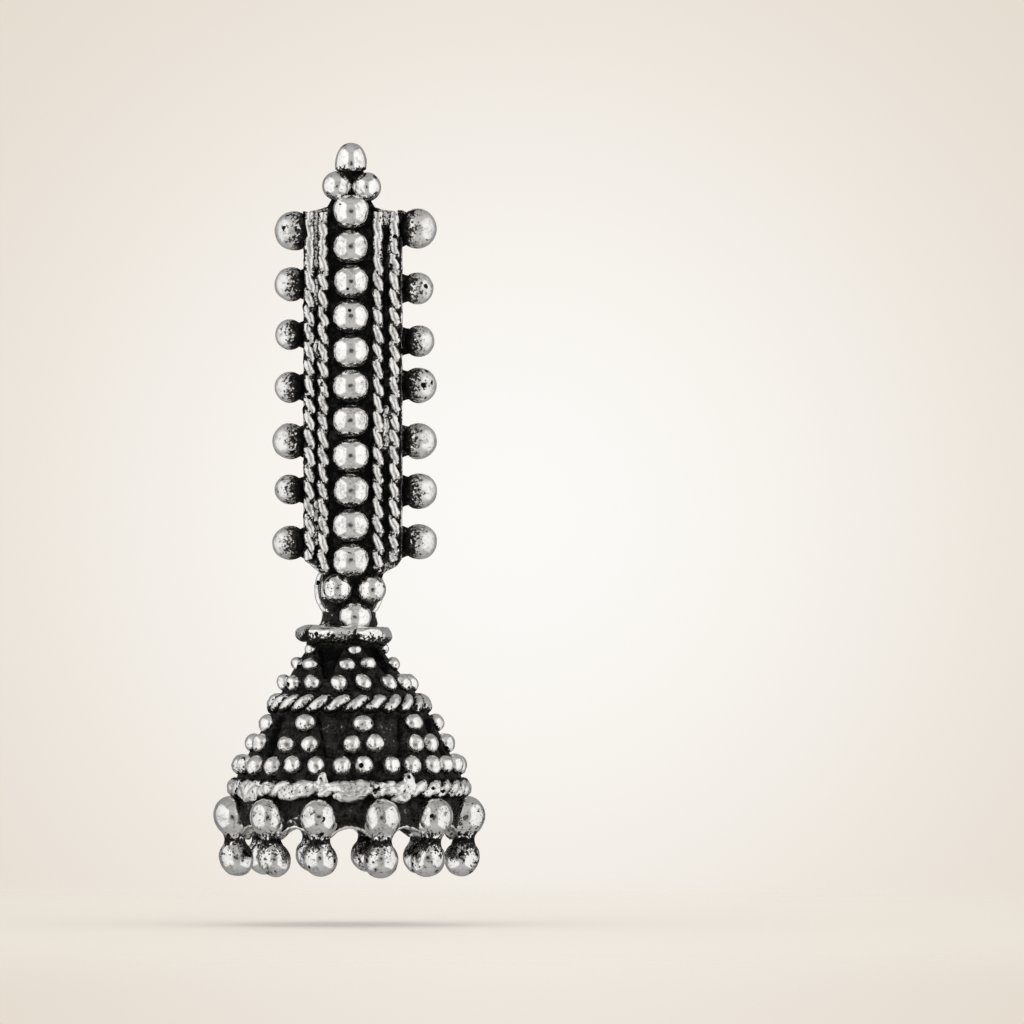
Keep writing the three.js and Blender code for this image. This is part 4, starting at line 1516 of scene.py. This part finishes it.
    def crown(self, shop: Workshop) -> list[bpy.types.Object]:
        """Ring, collar and neck."""
        bright, black = (shop.uneven(0.16, 0.7, look) for look in (shop.beads, shop.recess))
        parts = [shop.dressed("ring", self.ring(), bright), shop.dressed("collar", self.collar(), bright)]
        return parts + [shop.dressed("neck", self.neck(), black)]

    def askew(self, parts: list[bpy.types.Object]) -> list[bpy.types.Object]:
        """Moves the shoulder and collar aside, as they were soldered a little off the axis."""
        for part in parts:
            at = np.empty(3 * len(part.data.vertices), np.float32)
            part.data.vertices.foreach_get("co", at)
            at = at.reshape(-1, 3)
            up = at[:, 2] - self.collar_z
            at[:, 0] += self.shoulder_aside * eased(-5, -1.2, up) * eased(1.0, 0.45, up)
            part.data.vertices.foreach_set("co", at.ravel())
        return parts

    def build(self, shop: Workshop) -> None:
        """Builds and dresses the whole bell."""
        place = Vector(self.aside)
        pieces = {
            "bell_wall": [self.shell(shop)],
            "bell_beads": self.rows(shop),
            "bell_ropes": self.ropes(shop) + [self.melts(shop)],
            "bell_drops": [self.pairs(shop)],
            "bell_crown": self.crown(shop),
        }
        for name, parts in pieces.items():
            finished(name, self.askew(parts), Body.BELL, Slot.BELL, "bell", place)


# The studio


@dataclass
class Studio:
    """Pale floor, soft light and the camera, none of it part of the earring."""

    camera_place: tuple[float, float, float] = (12.04, -1200.0, -18.7)
    view_width: float = 76.6  # what the picture takes in at the plate's back
    softbox_aside: float = 500.0
    softbox_forward: float = 175.0
    softbox_size: tuple[float, float] = (1090.0, 1300.0)
    softbox_power: float = 2.75
    aim_z: float = -20.0
    grey: tuple[float, float, float, float] = (0.26, 0.22, 0.1, 0.13)  # base, front, above, below
    lens_shade: float = 0.97  # how far the camera's own place darkens the grey
    floor_z: float = -49.6
    floor_radius: float = 220.0
    floor_fade: tuple[float, float] = (0.1, 0.8)  # where it fades out, as shares of its radius
    floor_strength: float = 0.6  # how much of the floor shows over the backdrop
    backdrop_reach: float = 0.777  # how far the painted pool of light at the backdrop's centre reaches, in picture widths
    # colours of the painted pool of light on the backdrop, at its middle and at its corners
    centre_colour: tuple[float, float, float, float] = (0.973, 0.956, 0.922, 1)
    corner_colour: tuple[float, float, float, float] = (0.79, 0.716, 0.631, 1)
    fill_colour: tuple[float, float, float, float] = (0.9, 0.87, 0.82, 1)

    def camera(self) -> None:
        """Sets the camera square to the plate, as the photograph was taken."""
        data = bpy.data.cameras.new("camera")
        data.lens = data.sensor_width * abs(self.camera_place[1]) / self.view_width
        data.clip_start, data.clip_end = 0.01, 10.0
        made = linked("camera", data)
        made.location = Vector(self.camera_place) * METRES
        made.rotation_euler = (math.pi / 2, 0, 0)
        bpy.context.scene.camera = made

    def softbox(self, name: str, side: int) -> None:
        """Adds the softbox of the left or the right side."""
        data = bpy.data.lights.new(name, "AREA")
        data.shape = "RECTANGLE"
        data.size, data.size_y = (size * METRES for size in self.softbox_size)
        data.energy = self.softbox_power
        place = Vector((side * self.softbox_aside, -self.softbox_forward, 0))
        aim = Vector((0, 0, self.aim_z))
        made = linked(name, data)
        made.location = place * METRES
        made.rotation_euler = (aim - place).to_track_quat("-Z", "Y").to_euler()

    def world(self) -> None:
        """Pale backdrop for the camera with a painted pool of light, bright at the middle and darker at the
        corners, and a grey studio for what the metal reflects.
        """
        world = bpy.data.worlds.new("studio")
        bpy.context.scene.world = world
        world.use_nodes = True
        nodes = Nodes(world.node_tree)
        way = nodes.output("ShaderNodeTexCoord", key="Generated")
        parts = nodes.add("ShaderNodeSeparateXYZ", None, {0: way})
        x, y, z = (Number(nodes, parts.outputs[n]) for n in range(3))
        spread = (x * x + z * z).root()
        reach = self.backdrop_reach * self.view_width / abs(self.camera_place[1])
        # painted pool of light: the backdrop darkens from its middle towards the corners
        pale = nodes.mixed(spread.between(0.0, reach), self.centre_colour, self.corner_colour)
        front = (y * -1).between(-0.6, 0.9)
        above = z.between(-0.5, 0.95)
        lens = (y * -1).between(0.97, 0.98)
        below = (z * -1).between(0.1, 0.9)
        base, ahead, over, under = self.grey
        grey = (base + ahead * front + over * above + under * below) * (1 - self.lens_shade * lens)
        studio = nodes.output("ShaderNodeCombineColor", None, {0: grey, 1: grey * 0.99, 2: grey * 0.975})
        path = nodes.add("ShaderNodeLightPath")
        glossy, seen = (nodes.socket(path.outputs, name) for name in ("Is Glossy Ray", "Is Camera Ray"))
        lit = nodes.mixed(glossy, self.fill_colour, studio)
        colour = nodes.mixed(seen, lit, pale)
        shader = nodes.output("ShaderNodeBackground", None, {"Color": colour, "Strength": 1.0})
        nodes.add("ShaderNodeOutputWorld", None, {"Surface": shader})

    def floor(self) -> None:
        """Round pale floor under the bell that fades out to the backdrop."""
        radius = self.floor_radius * METRES
        corners = [(-radius * math.sin(a), radius * math.cos(a), 0) for a in steps_round(96)]
        mesh = bpy.data.meshes.new("floor")
        mesh.from_pydata(corners, [], [list(range(len(corners)))])
        made = linked("floor", mesh)
        made.location = (0, 0, self.floor_z * METRES)
        material, nodes = new_material("pale_floor")
        place = nodes.output("ShaderNodeTexCoord", key="Object")
        far = nodes.number("ShaderNodeVectorMath", {"operation": "LENGTH"}, {0: place}, "Value")
        shader = nodes.output(
            "ShaderNodeBsdfPrincipled",
            None,
            {"Base Color": (0.8, 0.77, 0.72, 1), "Roughness": 0.9, "Specular IOR Level": 0.1},
        )
        clear = nodes.output("ShaderNodeBsdfTransparent")
        glossy = nodes.number("ShaderNodeLightPath", key="Is Glossy Ray")
        faded = far.between(*(share * radius for share in self.floor_fade))
        kept = (1 - faded) * (1 - glossy) * self.floor_strength
        mixed = nodes.output("ShaderNodeMixShader", None, {0: kept, 1: clear, 2: shader})
        nodes.add("ShaderNodeOutputMaterial", None, {"Surface": mixed})
        mesh.materials.append(material)

    def build(self) -> None:
        """Sets up the studio."""
        self.softbox("left_softbox", -1)
        self.softbox("right_softbox", 1)
        self.world()
        self.floor()
        self.camera()
        bpy.context.scene.view_settings.view_transform = "Standard"
        log.info("studio: two softboxes, floor and camera")


def main() -> None:
    """Builds the earring and the studio, in order."""
    logging.basicConfig(level=logging.INFO, format="%(message)s")
    shop = Workshop(
        ring=ring_tree(),
        line=line_tree(),
        places=places_tree(),
        skin=skin_tree(),
        wire=wire_tree(),
        rope=rope_tree(),
        beads=OxidisedSilver("cast_silver").material(),
        satin=OxidisedSilver("satin_silver", bright=0.84, dull=0.42, polish=0.28, satin=0.42).material(),
        drops=OxidisedSilver("drop_silver", blotch=1.0, bright=0.8, dull=0.4).material(),
        grains=OxidisedSilver("grain_silver", blotch=1.0, polish=0.18, satin=0.34).material(),
        recess=OxidisedSilver("black_recess", speckle=0.6, relief=0.05, polish=0.3, satin=0.5).material(),
        drawn=PlainSilver("drawn_silver").material(),
    )
    EarPlate().build(shop)
    EarPost().build(shop)
    Bell().build(shop)
    Studio().build()


if __name__ == "__main__":
    main()
